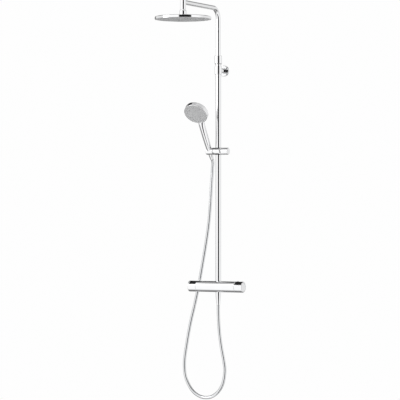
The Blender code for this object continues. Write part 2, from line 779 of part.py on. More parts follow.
def head(roll):
    """Everything that tilts with the overhead head. Heights are from the ball's centre."""
    here = place((0, 0, 0))
    cup = BALL_RADIUS + GAP + LINER_WALL + GAP
    cup_floor = BALL_RADIUS + GAP
    seat = math.sqrt(cup**2 - cup_floor**2)
    top = HEAD_TOP - BALL_CENTRE_Z
    rim_top = top - HEAD_DOME
    bottom = top - HEAD_THICKNESS
    ceiling = top - HEAD_WALL
    filter_bottom = -cup_floor - FILTER_THICKNESS - GAP
    turned(
        "ball_nut",
        arc(cup, 0.0, NUT_LIP)
        + [
            (NUT_MOUTH_RADIUS, NUT_TOP),
            (NUT_RADIUS - 0.0032, NUT_TOP),
            (NUT_RADIUS - 0.0010, NUT_TOP - 0.0022),
            (NUT_RADIUS, NUT_TOP - 0.0050),
            (NUT_RADIUS, -NUT_BOTTOM),
            (BOSS_RADIUS + GAP, -NUT_BOTTOM),
            (BOSS_RADIUS + GAP, 0.0),
        ],
        CHROME,
        here,
        ROUND_SEGMENTS,
        roll,
    )
    turned(
        "head_shell",
        [
            (HEAD_WATERWAY_RADIUS, ceiling),
            (HEAD_WATERWAY_RADIUS, filter_bottom - GAP),
            (seat, filter_bottom - GAP),
        ]
        + arc(cup, -cup_floor, -BOSS_TOP)
        + [
            (BOSS_RADIUS, -BOSS_TOP),
            (BOSS_RADIUS, top),
            (HEAD_RADIUS * 0.5, top - HEAD_DOME * 0.4),
            (HEAD_RADIUS - HEAD_EDGE, rim_top),
            (HEAD_RADIUS, rim_top - HEAD_EDGE),
            (HEAD_RADIUS, bottom + 0.0008),
            (HEAD_RADIUS - 0.0008, bottom),
            (HEAD_RADIUS - HEAD_WALL, bottom),
            (HEAD_RADIUS - HEAD_WALL, ceiling - HEAD_DOME),
        ],
        CHROME,
        here,
        DISC_SEGMENTS,
        roll,
    )
    turned(
        "head_filter",
        tube(seat - GAP, FILTER_HOLE_RADIUS, filter_bottom, -cup_floor - GAP),
        STEEL,
        here,
        INNER_SEGMENTS,
        roll,
    )
    plate_low = bottom + SPRAY_PLATE_RECESS
    plate_high = plate_low + SPRAY_PLATE_THICKNESS
    plate_radius = HEAD_RADIUS - HEAD_WALL - GAP
    turned(
        "head_spray_plate",
        rod(plate_radius, plate_low, plate_high, 0.0004),
        SPRAY_GREY,
        here,
        DISC_SEGMENTS,
        roll,
    )
    mat_low = plate_high + GAP
    mat_high = mat_low + MAT_THICKNESS
    turned(
        "head_nozzle_mat",
        rod(plate_radius - MAT_MARGIN, mat_low, mat_high),
        SILICONE,
        here,
        DISC_SEGMENTS - 8,
        roll,
    )
    distributor_low = mat_high + GAP
    turned(
        "head_distributor",
        tube(
            plate_radius - MAT_MARGIN,
            HEAD_WATERWAY_RADIUS,
            distributor_low,
            distributor_low + DISTRIBUTOR_THICKNESS,
        ),
        WHITE_PLASTIC,
        here,
        DISC_SEGMENTS - 8,
        roll,
    )


# ================================================================ slider
def slider_liner_radius():
    return RISER_RADIUS + SLIDING_GAP + SLIDER_LINER_WALL


def slider(slide, swivel, knob_turn):
    """The liner slides on the riser, and the slider body turns on the liner."""
    half = SLIDER_HALF_HEIGHT
    turned(
        "slider_liner",
        tube(slider_liner_radius(), RISER_RADIUS + SLIDING_GAP, -half, half),
        DARK_PLASTIC,
        place((0, 0, 0)),
        ROUND_SEGMENTS,
        slide,
    )
    body = lofted(
        "slider_body",
        [
            (SLIDER_LEFT, SLIDER_HALF_HEIGHT - 0.0006, SLIDER_HALF_HEIGHT - 0.0006, 0),
            (SLIDER_LEFT + 0.0006, SLIDER_HALF_HEIGHT, SLIDER_HALF_HEIGHT, 0),
            (SLIDER_LEFT * 0.62, SLIDER_HALF_HEIGHT, SLIDER_HALF_DEPTH, 0),
            (SLIDER_RIGHT * 0.80, SLIDER_HALF_HEIGHT, SLIDER_HALF_DEPTH, 0),
            (SLIDER_RIGHT - 0.0006, SLIDER_HALF_HEIGHT, SLIDER_HALF_HEIGHT + 0.001, 0),
            (SLIDER_RIGHT, SLIDER_HALF_HEIGHT - 0.0006, SLIDER_HALF_HEIGHT, 0),
        ],
        CHROME,
        place((0, 0, 0), ALONG_X),
        ROUND_SEGMENTS,
        swivel,
    )
    boolean(
        body,
        cutter(
            "cut_slider_riser",
            rod(slider_liner_radius() + SLIDING_GAP, -half - 0.01, half + 0.01),
            place((0, 0, 0)),
            ROUND_SEGMENTS,
            swivel,
        ),
    )
    boolean(
        body,
        cutter(
            "cut_slider_clamp",
            rod(CLAMP_SCREW_RADIUS + GAP, RISER_RADIUS, SLIDER_RIGHT + 0.004),
            place((0, 0, 0), ALONG_X),
            INNER_SEGMENTS,
            swivel,
        ),
    )
    pin_end = SLIDER_LEFT + PIVOT_PIN_IN_SLIDER
    boolean(
        body,
        cutter(
            "cut_slider_pivot",
            rod(PIVOT_PIN_RADIUS + SLIDING_GAP, SLIDER_LEFT - 0.004, pin_end + GAP),
            place((0, 0, 0), ALONG_X),
            INNER_SEGMENTS,
            swivel,
        ),
    )
    pad_start = slider_liner_radius() + SLIDING_GAP
    turned(
        "slider_brake_pad",
        rod(CLAMP_SCREW_RADIUS, pad_start, pad_start + PAD_LENGTH),
        RUBBER,
        place((0, 0, 0), ALONG_X),
        INNER_SEGMENTS,
        swivel,
    )
    screw_start = pad_start + PAD_LENGTH + GAP
    screw_end = screw_start + CLAMP_SCREW_LENGTH
    turned(
        "slider_clamp_screw",
        rod(CLAMP_SCREW_RADIUS, screw_start, screw_end, 0.0004),
        STEEL,
        place((0, 0, 0), ALONG_X),
        INNER_SEGMENTS,
        knob_turn,
    )
    knob_start = SLIDER_RIGHT + GAP
    knob_end = knob_start + KNOB_LENGTH
    turned(
        "slider_knob",
        [
            (CLAMP_SCREW_RADIUS + GAP, knob_start),
            (KNOB_RADIUS - 0.0006, knob_start),
            (KNOB_RADIUS, knob_start + 0.0006),
            (KNOB_RADIUS, knob_end - 0.002),
            (KNOB_RADIUS - 0.0006, knob_end - 0.0006),
            (KNOB_RADIUS - 0.002, knob_end),
            (0, knob_end),
            (0, screw_end + GAP),
            (CLAMP_SCREW_RADIUS + GAP, screw_end + GAP),
        ],
        CHROME,
        place((0, 0, 0), ALONG_X),
        ROUND_SEGMENTS,
        knob_turn,
    )


# ================================================================ holder
def cone_radius(along):
    """Radius of the hose's cone nut at a distance along the handle from the pivot."""
    taper = (CONE_TOP_RADIUS - CONE_END_RADIUS) / CONE_LENGTH
    return CONE_TOP_RADIUS - (CONE_TOP - along) * taper


def holder(tilt):
    """The turning cup that the cone nut stands in, with a slot for the hose at its free end."""
    slider_end = SLIDER_LEFT - PIVOT_X
    right = slider_end - GAP
    cup = turned(
        "holder_cup",
        [
            (0, -HOLDER_LEFT_WALL),
            (HOLDER_RADIUS - 0.0015, -HOLDER_LEFT_WALL),
            (HOLDER_RADIUS, -HOLDER_LEFT_WALL + 0.0015),
            (HOLDER_RADIUS, right - 0.0004),
            (HOLDER_RADIUS - 0.0004, right),
            (FRICTION_WASHER_RADIUS + GAP, right),
            (FRICTION_WASHER_RADIUS + GAP, right - FRICTION_WASHER_THICKNESS),
            (PIVOT_PIN_RADIUS + GAP, right - FRICTION_WASHER_THICKNESS),
            (PIVOT_PIN_RADIUS + GAP, 0),
            (0, 0),
        ],
        CHROME,
        place((0, 0, 0), ALONG_X),
        ROUND_SEGMENTS,
        tilt,
    )
    reach = HOLDER_RADIUS + 0.006
    boolean(
        cup,
        cutter(
            "cut_holder_cone",
            [
                (0, -reach),
                (cone_radius(-reach) + GAP, -reach),
                (cone_radius(reach) + GAP, reach),
                (0, reach),
            ],
            place((0, 0, 0), Matrix.Rotation(HANDSET_LEAN, 4, "X")),
            ROUND_SEGMENTS,
            tilt,
        ),
    )
    half_slot = HOLDER_SLOT_WIDTH / 2
    boolean(
        cup,
        box_cutter(
            "cut_holder_slot",
            (-reach, -half_slot, -reach),
            (0.0, half_slot, reach),
            place((0, 0, 0), Matrix.Rotation(HANDSET_LEAN, 4, "X")),
            tilt,
        ),
    )
    pin_start = cone_radius(0.0) + GAP + PIVOT_PIN_FROM_CONE
    turned(
        "holder_pivot_pin",
        rod(PIVOT_PIN_RADIUS, pin_start, slider_end + PIVOT_PIN_IN_SLIDER, 0.0004),
        STEEL,
        place((0, 0, 0), ALONG_X),
        INNER_SEGMENTS,
        tilt,
    )
    turned(
        "holder_friction_washer",
        tube(
            FRICTION_WASHER_RADIUS,
            PIVOT_PIN_RADIUS + GAP,
            right - FRICTION_WASHER_THICKNESS + GAP,
            right,
        ),
        DARK_PLASTIC,
        place((0, 0, 0), ALONG_X),
        ROUND_SEGMENTS,
        tilt,
    )


# ================================================================ hand shower
def cone_nut_outline():
    end = CONE_TOP - CONE_LENGTH
    thread_floor = CONE_TOP - CONE_THREAD_DEPTH
    return [
        (CONE_THREAD_RADIUS, CONE_TOP),
        (CONE_THREAD_RADIUS, thread_floor),
        (HOSE_BORE_RADIUS, thread_floor),
        (HOSE_BORE_RADIUS, end),
        (CONE_END_RADIUS - 0.0006, end),
        (CONE_END_RADIUS, end + CONE_END_ROUNDING),
        (cone_radius(CONE_TOP - 0.0006), CONE_TOP - 0.0006),
        (CONE_TOP_RADIUS - 0.0006, CONE_TOP),
    ]


def hand_head_place():
    """Turns a piece whose height axis is the spray direction into the hand shower's own frame."""
    tilt = Matrix.Rotation(HAND_HEAD_TILT, 4, "X")
    forward = tilt @ Vector((0, 0, HAND_HEAD_FORWARD))
    return Matrix.Translation(Vector((0, 0, HAND_HEAD_ALONG)) + forward) @ tilt


def hand_shower(lift):
    here = place((0, 0, 0))
    turned("hose_top_nut", cone_nut_outline(), CHROME, here, ROUND_SEGMENTS, lift)
    washer_low = CONE_TOP - CONE_THREAD_DEPTH + GAP
    washer_high = washer_low + SEAL_THICKNESS
    turned(
        "hose_top_washer",
        tube(CONE_THREAD_RADIUS - GAP, HOSE_BORE_RADIUS, washer_low, washer_high),
        RUBBER,
        here,
        INNER_SEGMENTS,
        lift,
    )
    handle_foot = CONE_TOP + 2 * GAP
    connector_top = handle_foot + CONNECTOR_LENGTH_IN_HANDLE
    turned(
        "handset_connector",
        [
            (HOSE_BORE_RADIUS, washer_high + GAP),
            (CONE_THREAD_RADIUS - GAP, washer_high + GAP),
            (CONE_THREAD_RADIUS - GAP, CONE_TOP),
            (HANDLE_BORE_RADIUS - GAP, CONE_TOP),
            (HANDLE_BORE_RADIUS - GAP, connector_top),
            (HOSE_BORE_RADIUS, connector_top),
        ],
        BRASS,
        here,
        INNER_SEGMENTS,
        lift,
    )
    body = lofted(
        "handset_body",
        [
            (handle_foot, 0.0112, 0.0112, 0),
            (handle_foot + 0.0008, 0.0118, 0.0118, 0),
            (0.0450, 0.0128, 0.0128, 0),
            (0.1000, 0.0133, 0.0133, 0),
            (0.1400, 0.0138, 0.0122, 0.0010),
            (0.1560, 0.0150, 0.0104, 0.0025),
            (0.1700, 0.0175, 0.0082, 0.0020),
            (0.1860, 0.0200, 0.0068, 0.0),
            (0.2000, 0.0195, 0.0050, -0.0010),
        ],
        CHROME,
        here,
        ROUND_SEGMENTS,
        lift,
    )
    dish = cutter(
        "join_head_dish",
        [
            (0, -HAND_HEAD_BACK),
            (HAND_HEAD_RADIUS * 0.39, -HAND_HEAD_BACK * 0.96),
            (HAND_HEAD_RADIUS * 0.70, -HAND_HEAD_BACK * 0.81),
            (HAND_HEAD_RADIUS * 0.90, -HAND_HEAD_BACK * 0.56),
            (HAND_HEAD_RADIUS * 0.985, -HAND_HEAD_BACK * 0.28),
            (HAND_HEAD_RADIUS, -HAND_HEAD_BACK * 0.09),
            (HAND_HEAD_RADIUS, HAND_HEAD_FRONT - FACE_RING_DEPTH - GAP),
            (0, HAND_HEAD_FRONT - FACE_RING_DEPTH - GAP),
        ],
        hand_head_place(),
        HAND_HEAD_SEGMENTS,
        lift,
    )
    boolean(body, dish, "UNION")
    seat_radius = HAND_HEAD_RADIUS - FACE_RING_WIDTH
    boolean(
        body,
        cutter(
            "cut_head_recess",
            rod(seat_radius, HAND_FACE_FLOOR, HAND_HEAD_FRONT + 0.01),
            hand_head_place(),
            HAND_HEAD_SEGMENTS,
            lift,
        ),
    )
    boolean(
        body,
        cutter(
            "cut_handle_bore",
            rod(HANDLE_BORE_RADIUS, handle_foot - 0.01, handle_foot + HANDLE_BORE_LENGTH),
            here,
            INNER_SEGMENTS,
            lift,
        ),
    )
    water_tube_low = connector_top + GAP
    turned(
        "handset_water_tube",
        tube(
            WATER_TUBE_RADIUS,
            WATER_TUBE_RADIUS - WATER_TUBE_WALL,
            water_tube_low,
            handle_foot + HANDLE_BORE_LENGTH - GAP,
        ),
        WHITE_PLASTIC,
        here,
        INNER_SEGMENTS,
        lift,
    )
    ring_low = HAND_HEAD_FRONT - FACE_RING_DEPTH
    turned(
        "handset_face_ring",
        [
            (seat_radius, ring_low),
            (HAND_HEAD_RADIUS, ring_low),
            (HAND_HEAD_RADIUS, HAND_HEAD_FRONT - 0.0016),
            (HAND_HEAD_RADIUS - 0.0006, HAND_HEAD_FRONT - 0.0004),
            (HAND_HEAD_RADIUS - 0.0014, HAND_HEAD_FRONT),
            (seat_radius, HAND_HEAD_FRONT),
        ],
        CHROME,
        hand_head_place(),
        HAND_HEAD_SEGMENTS,
        lift,
    )
    face_high = HAND_HEAD_FRONT - FACE_RECESS
    face_low = face_high - HAND_FACE_THICKNESS
    turned(
        "handset_spray_face",
        rod(seat_radius - GAP, face_low, face_high, 0.0004),
        SPRAY_GREY,
        hand_head_place(),
        HAND_HEAD_SEGMENTS,
        lift,
    )
    mat_high = face_low - GAP
    turned(
        "handset_nozzle_mat",
        rod(seat_radius - GAP, mat_high - HAND_MAT_THICKNESS, mat_high),
        SILICONE,
        hand_head_place(),
        HAND_HEAD_SEGMENTS,
        lift,
    )


# ================================================================ mixer
def mixer_body():
    bar = turned(
        "mixer_body",
        rod(MIXER_RADIUS, -MIXER_HALF_BODY, MIXER_HALF_BODY, 0.0004),
        CHROME,
        place(mixer_point(0, 0, 0), ALONG_X),
        BAR_SEGMENTS,
    )
    boolean(
        bar,
        cutter(
            "join_outlet_block",
            rod(OUTLET_BLOCK_RADIUS, -OUTLET_BLOCK_HALF_HEIGHT, OUTLET_BLOCK_HALF_HEIGHT, 0.0008),
            place((0, -RISER_OFFSET, MIXER_Z)),
        ),
        "UNION",
    )
    outlets = place((0, -RISER_OFFSET, MIXER_Z))
    socket_floor = OUTLET_BLOCK_HALF_HEIGHT - RISER_SOCKET_DEPTH
    boolean(
        bar,
        cutter(
            "cut_riser_socket",
            [
                (0, OUTLET_BORE_GAP),
                (OUTLET_BORE_RADIUS, OUTLET_BORE_GAP),
                (OUTLET_BORE_RADIUS, socket_floor),
                (RISER_RADIUS + GAP, socket_floor),
                (RISER_RADIUS + GAP, MIXER_RADIUS + 0.004),
                (0, MIXER_RADIUS + 0.004),
            ],
            outlets,
        ),
    )
    boolean(
        bar,
        cutter(
            "cut_hose_outlet",
            rod(OUTLET_BORE_RADIUS, -MIXER_RADIUS - 0.004, -OUTLET_BORE_GAP),
            outlets,
            INNER_SEGMENTS,
        ),
    )
    cavity = CARTRIDGE_RADIUS + GAP
    for side, name in ((-1, "left"), (1, "right")):
        inner_end = MIXER_HALF_BODY - CARTRIDGE_BORE_DEPTH
        turn = ALONG_X if side > 0 else ALONG_BACK_X
        boolean(
            bar,
            cutter(
                f"cut_cartridge_{name}",
                rod(cavity, inner_end, MIXER_HALF_BODY + 0.004),
                place(mixer_point(0, 0, 0), turn),
            ),
        )
        boolean(
            bar,
            cutter(
                f"cut_inlet_{name}",
                rod(INLET_BORE_RADIUS, INLET_BORE_FLOOR, MIXER_RADIUS + 0.004),
                place(mixer_point(side * INLET_PITCH / 2, 0, 0), ALONG_Y),
                INNER_SEGMENTS,
            ),
        )
    boolean(
        bar,
        cutter(
            "cut_mixing_channel",
            rod(
                MIXING_CHANNEL_RADIUS,
                -MIXER_HALF_BODY + MIXING_CHANNEL_END,
                MIXER_HALF_BODY - MIXING_CHANNEL_END,
            ),
            place(mixer_point(0, -MIXING_CHANNEL_FORWARD, 0), ALONG_X),
            SCREW_SEGMENTS,
        ),
    )
    cross_height = OUTLET_BORE_GAP + CROSS_CHANNEL_RADIUS + GAP
    for level, name in ((1, "upper"), (-1, "lower")):
        boolean(
            bar,
            cutter(
                f"cut_channel_{name}",
                rod(CROSS_CHANNEL_RADIUS, -MIXING_CHANNEL_FORWARD, MIXER_FORWARD),
                place(mixer_point(0, 0, level * cross_height), ALONG_Y),
                SCREW_SEGMENTS,
            ),
        )


def cartridge(name, side):
    """A cartridge in its end of the bar, with the stem that its handle sits on."""
    inner_end = MIXER_HALF_BODY - CARTRIDGE_BORE_DEPTH + GAP
    flange_end = MIXER_HALF_BODY + CARTRIDGE_FLANGE
    stem_end = MIXER_HALF_BODY + CARTRIDGE_STEM_LENGTH
    turned(
        name,
        [
            (0, inner_end),
            (CARTRIDGE_RADIUS - CARTRIDGE_NECK, inner_end),
            (CARTRIDGE_RADIUS - CARTRIDGE_NECK, inner_end + CARTRIDGE_NECK_LENGTH),
            (CARTRIDGE_RADIUS, inner_end + CARTRIDGE_NECK_LENGTH),
            (CARTRIDGE_RADIUS, flange_end),
            (CARTRIDGE_STEM_RADIUS, flange_end),
            (CARTRIDGE_STEM_RADIUS, stem_end),
            (HANDLE_SCREW_RADIUS + GAP, stem_end),
            (HANDLE_SCREW_RADIUS + GAP, stem_end - CARTRIDGE_SCREW_DEPTH),
            (0, stem_end - CARTRIDGE_SCREW_DEPTH),
        ],
        BRASS,
        place(mixer_point(0, 0, 0), ALONG_X if side > 0 else ALONG_BACK_X),
        INNER_SEGMENTS,
    )


def mixer_handle(word, side, turn_empty):
    """Sleeve, web and hub in one casting, its screw and its end cap. Heights run outwards."""
    outwards = ALONG_X if side > 0 else ALONG_BACK_X
    here = place((0, 0, 0), outwards)
    start = MIXER_HALF_BODY + GAP
    end = start + HANDLE_LENGTH
    web_low = MIXER_HALF_BODY + HUB_WEB_FROM_BODY
    web_high = MIXER_HALF_BODY + CARTRIDGE_STEM_LENGTH
    inner = MIXER_RADIUS - HANDLE_WALL
    stem_gap = CARTRIDGE_STEM_RADIUS + SLIDING_GAP
    cap_bore = inner - CAP_LEDGE
    cap_end = end - CAP_RECESS
    sleeve = turned(
        f"{word}_handle",
        [
            (inner, start),
            (MIXER_RADIUS - 0.0004, start),
            (MIXER_RADIUS, start + 0.0004),
            (MIXER_RADIUS, end - HANDLE_RIM),
            (MIXER_RADIUS - HANDLE_RIM, end),
            (cap_bore, end),
            (cap_bore, web_high),
            (stem_gap, web_high),
            (stem_gap, web_low),
            (inner, web_low),
        ],
        CHROME,
        here,
        BAR_SEGMENTS,
        turn_empty,
    )
    flat = MIXER_RADIUS - HANDLE_GRIP_DROP
    grip = box_cutter(
        f"cut_{word}_grip",
        (start - 0.002, -MIXER_RADIUS, flat),
        (end - HANDLE_GRIP_END, MIXER_RADIUS, MIXER_RADIUS + 0.01),
        place((0, 0, 0), Matrix.Rotation(HANDLE_GRIP_ANGLE, 4, "X"))
        @ Matrix.Scale(side, 4, Vector((1, 0, 0))),
        turn_empty,
    )
    boolean(sleeve, grip)
    turned(
        f"{word}_handle_cap",
        rod(cap_bore - GAP, cap_end - CAP_THICKNESS, cap_end, 0.0005),
        CHROME,
        here,
        BAR_SEGMENTS,
        turn_empty,
    )
    turned(
        f"{word}_handle_screw",
        [
            (0, web_high - HANDLE_SCREW_LENGTH),
            (HANDLE_SCREW_RADIUS, web_high - HANDLE_SCREW_LENGTH),
            (HANDLE_SCREW_RADIUS, web_high + GAP),
            (HANDLE_SCREW_HEAD_RADIUS, web_high + GAP),
            (HANDLE_SCREW_HEAD_RADIUS, web_high + HANDLE_SCREW_HEAD_HEIGHT),
            (0, web_high + HANDLE_SCREW_HEAD_HEIGHT),
        ],
        STEEL,
        here,
        INNER_SEGMENTS,
        turn_empty,
    )
    return sleeve


def stop_button(sleeve, turn_empty, press):
    """The button on the temperature handle that lets it turn past 38 degrees."""
    lie = Matrix.Rotation(BUTTON_ANGLE, 4, "X")
    middle = MIXER_HALF_BODY + HUB_WEB_FROM_BODY / 2 + GAP
    seat = MIXER_RADIUS - BUTTON_HOLE_DEPTH
    hole = cutter(
        "cut_button_hole",
        rod(BUTTON_RADIUS + GAP, seat, MIXER_RADIUS + 0.01),
        place((middle, 0, 0), lie),
        INNER_SEGMENTS,
        turn_empty,
    )
    boolean(sleeve, hole)
    top = MIXER_RADIUS + BUTTON_PROUD
    turned(
        "temperature_stop_button",
        rod(BUTTON_RADIUS, top - BUTTON_HEIGHT, top, 0.0008),
        DARK_PLASTIC,
        place((middle, 0, 0), lie),
        INNER_SEGMENTS,
        press,
    )


def inlet(word, side):
    """Nipple with its flange, seal and the union nut that draws the mixer on to its supply."""
    x = side * INLET_PITCH / 2
    back = place((x, 0, MIXER_Z), ALONG_Y)
    bar_back = RISER_OFFSET + MIXER_FORWARD - MIXER_RADIUS
    flange_back = -(INLET_NUT_BACK + INLET_FLANGE_DEPTH)
    flange_front = flange_back - INLET_FLANGE_THICKNESS
    turned(
        f"{word}_inlet_nipple",
        [
            (NIPPLE_BORE_RADIUS, -bar_back - NIPPLE_FROM_BAR),
            (INLET_BORE_RADIUS - GAP, -bar_back - NIPPLE_FROM_BAR),
            (INLET_BORE_RADIUS - GAP, -bar_back + NIPPLE_IN_BAR),
            (NIPPLE_RADIUS, -bar_back + NIPPLE_IN_BAR),
            (NIPPLE_RADIUS, flange_front),
            (NIPPLE_FLANGE_RADIUS, flange_front),
            (NIPPLE_FLANGE_RADIUS, flange_back),
            (NIPPLE_BORE_RADIUS, flange_back),
        ],
        BRASS,
        back,
        INNER_SEGMENTS,
    )
    turned(
        f"{word}_inlet_seal",
        tube(
            NIPPLE_FLANGE_RADIUS,
            NIPPLE_BORE_RADIUS + 0.001,
            flange_back + GAP,
            flange_back + GAP + SEAL_THICKNESS,
        ),
        RUBBER,
        back,
        INNER_SEGMENTS,
    )
    corner = INLET_NUT_ACROSS_FLATS / 2 / math.cos(math.radians(30))
    nut = turned(
        f"{word}_inlet_nut",
        rod(corner, -INLET_NUT_FRONT, -INLET_NUT_BACK),
        CHROME,
        back,
        6,
    )
    boolean(
        nut,
        cutter(
            f"cut_{word}_nut",
            [
                (0, -INLET_NUT_FRONT - 0.002),
                (NIPPLE_RADIUS + GAP, -INLET_NUT_FRONT - 0.002),
                (NIPPLE_RADIUS + GAP, flange_front - GAP),
                (INLET_NUT_BORE_RADIUS, flange_front - GAP),
                (INLET_NUT_BORE_RADIUS, -INLET_NUT_BACK + 0.002),
                (0, -INLET_NUT_BACK + 0.002),
            ],
            back,
            20,
        ),
    )


def hose_outlet():
    """Nipple under the bar, its washer and the hose's lower nut."""
    axis = place((0, -RISER_OFFSET, MIXER_Z))
    nut_top = -HOSE_NUT_TOP
    nut_end = nut_top - HOSE_NUT_LENGTH
    thread_floor = nut_top - CONE_THREAD_DEPTH
    washer_low = thread_floor + GAP
    nipple_top = -OUTLET_BLOCK_HALF_HEIGHT + OUTLET_NIPPLE_IN_BLOCK
    turned(
        "hose_outlet_nipple",
        [
            (HOSE_BORE_RADIUS, washer_low + SEAL_THICKNESS + GAP),
            (CONE_THREAD_RADIUS - GAP, washer_low + SEAL_THICKNESS + GAP),
            (CONE_THREAD_RADIUS - GAP, -OUTLET_BLOCK_HALF_HEIGHT - GAP),
            (OUTLET_BORE_RADIUS - GAP, -OUTLET_BLOCK_HALF_HEIGHT - GAP),
            (OUTLET_BORE_RADIUS - GAP, nipple_top),
            (HOSE_BORE_RADIUS, nipple_top),
        ],
        BRASS,
        axis,
        INNER_SEGMENTS,
    )
    turned(
        "hose_bottom_washer",
        tube(CONE_THREAD_RADIUS - GAP, HOSE_BORE_RADIUS, washer_low, washer_low + SEAL_THICKNESS),
        RUBBER,
        axis,
        INNER_SEGMENTS,
    )
    turned(
        "hose_bottom_nut",
        [
            (CONE_THREAD_RADIUS, nut_top),
            (CONE_THREAD_RADIUS, thread_floor),
            (HOSE_BORE_RADIUS, thread_floor),
            (HOSE_BORE_RADIUS, nut_end),
            (CONE_END_RADIUS - 0.0006, nut_end),
            (CONE_END_RADIUS, nut_end + CONE_END_ROUNDING),
            (CONE_TOP_RADIUS, nut_top - HOSE_NUT_COLLAR),
            (CONE_TOP_RADIUS, nut_top - 0.0006),
            (CONE_TOP_RADIUS - 0.0006, nut_top),
        ],
        CHROME,
        axis,
        ROUND_SEGMENTS,
    )


# ================================================================ hose
def smooth_route(points, spacing):
    """Evenly spaced points on the smooth curve (Catmull-Rom) through the route's own points."""
    route = [Vector(point) for point in points]
    route = [route[0] * 2 - route[1]] + route + [route[-1] * 2 - route[-2]]
    fine = []
    for before, here, after, beyond in zip(route, route[1:], route[2:], route[3:]):
        for i in range(24):
            t = i / 24
            fine.append(
                0.5
                * (
                    2 * here
                    + (after - before) * t
                    + (2 * before - 5 * here + 4 * after - beyond) * t**2
                    + (3 * here - before - 3 * after + beyond) * t**3
                )
            )
    fine.append(route[-2])
    lengths = [0.0]
    for one, other in zip(fine, fine[1:]):
        lengths.append(lengths[-1] + (other - one).length)
    count = round(lengths[-1] / spacing)
    evenly = []
    at = 0
    for i in range(count + 1):
        wanted = lengths[-1] * i / count
        while at < len(fine) - 2 and lengths[at + 1] < wanted:
            at += 1
        share = (wanted - lengths[at]) / (lengths[at + 1] - lengths[at])
        evenly.append(fine[at].lerp(fine[at + 1], min(share, 1.0)))
    return evenly


def hose():
    points = smooth_route(HOSE_ROUTE, HOSE_SPACING)
    curve = bpy.data.curves.new("hose", "CURVE")
    curve.dimensions = "3D"
    curve.bevel_depth = HOSE_RADIUS
    curve.bevel_resolution = 2
    curve.use_fill_caps = True
    curve.resolution_u = 1
    curve.render_resolution_u = 0
    spline = curve.splines.new("POLY")
    spline.points.add(len(points) - 1)
    for spot, point in zip(spline.points, points):
        spot.co = (*point, 1.0)
    curve.materials.append(HOSE_SILVER)
    made = bpy.data.objects.new("hose", curve)
    bpy.context.scene.collection.objects.link(made)


# ================================================================ assembly
def build():
    wall_bracket()
    riser()
    coupling()
    mixer_body()
    cartridge("flow_cartridge", -1)
    cartridge("temperature_cartridge", 1)
    inlet("hot", -1)
    inlet("cold", 1)
    hose_outlet()

    arm_swivel = axis_empty("arm_swivel_axis", place((0, -RISER_OFFSET, 0)))
    arm(arm_swivel)
    ball = (0, -RISER_OFFSET - ARM_REACH, BALL_CENTRE_Z)
    head_tilt = axis_empty("head_tilt_axis", place(ball))
    ball_liner(head_tilt)
    head_roll = axis_empty("head_roll_axis", place(ball))
    head(head_roll)

    slide = axis_empty("slider_slide_axis", place((0, -RISER_OFFSET, SLIDER_Z)))
    swivel = axis_empty("slider_swivel_axis", place((0, -RISER_OFFSET, SLIDER_Z)))
    knob_turn = axis_empty("slider_knob_axis", place((0, -RISER_OFFSET, SLIDER_Z)))
    slider(slide, swivel, knob_turn)
    pivot = (PIVOT_X, -RISER_OFFSET, SLIDER_Z)
    tilt = axis_empty("holder_tilt_axis", place(pivot))
    holder(tilt)
    lift = axis_empty("handset_axis", place(pivot, Matrix.Rotation(HANDSET_LEAN, 4, "X")))
    hand_shower(lift)

    flow_turn = axis_empty("flow_turn_axis", place(mixer_point(0, 0, 0)))
    mixer_handle("flow", -1, flow_turn)
    temperature_turn = axis_empty("temperature_turn_axis", place(mixer_point(0, 0, 0)))
    sleeve = mixer_handle("temperature", 1, temperature_turn)
    press = axis_empty("stop_button_axis", place(mixer_point(0, 0, 0)))
    stop_button(sleeve, temperature_turn, press)
    hose()


build()
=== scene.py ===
"""The looks of the rainfall shower column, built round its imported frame, in metres.

Where things are comes from the frame's boxes and joints. What is written here is what the frame
doesn't hold: the roundings of edges, the nozzles, the spiral of the hose and the finishes.
"""

import json
import math

import bmesh
import bpy
from mathutils import Matrix, Vector

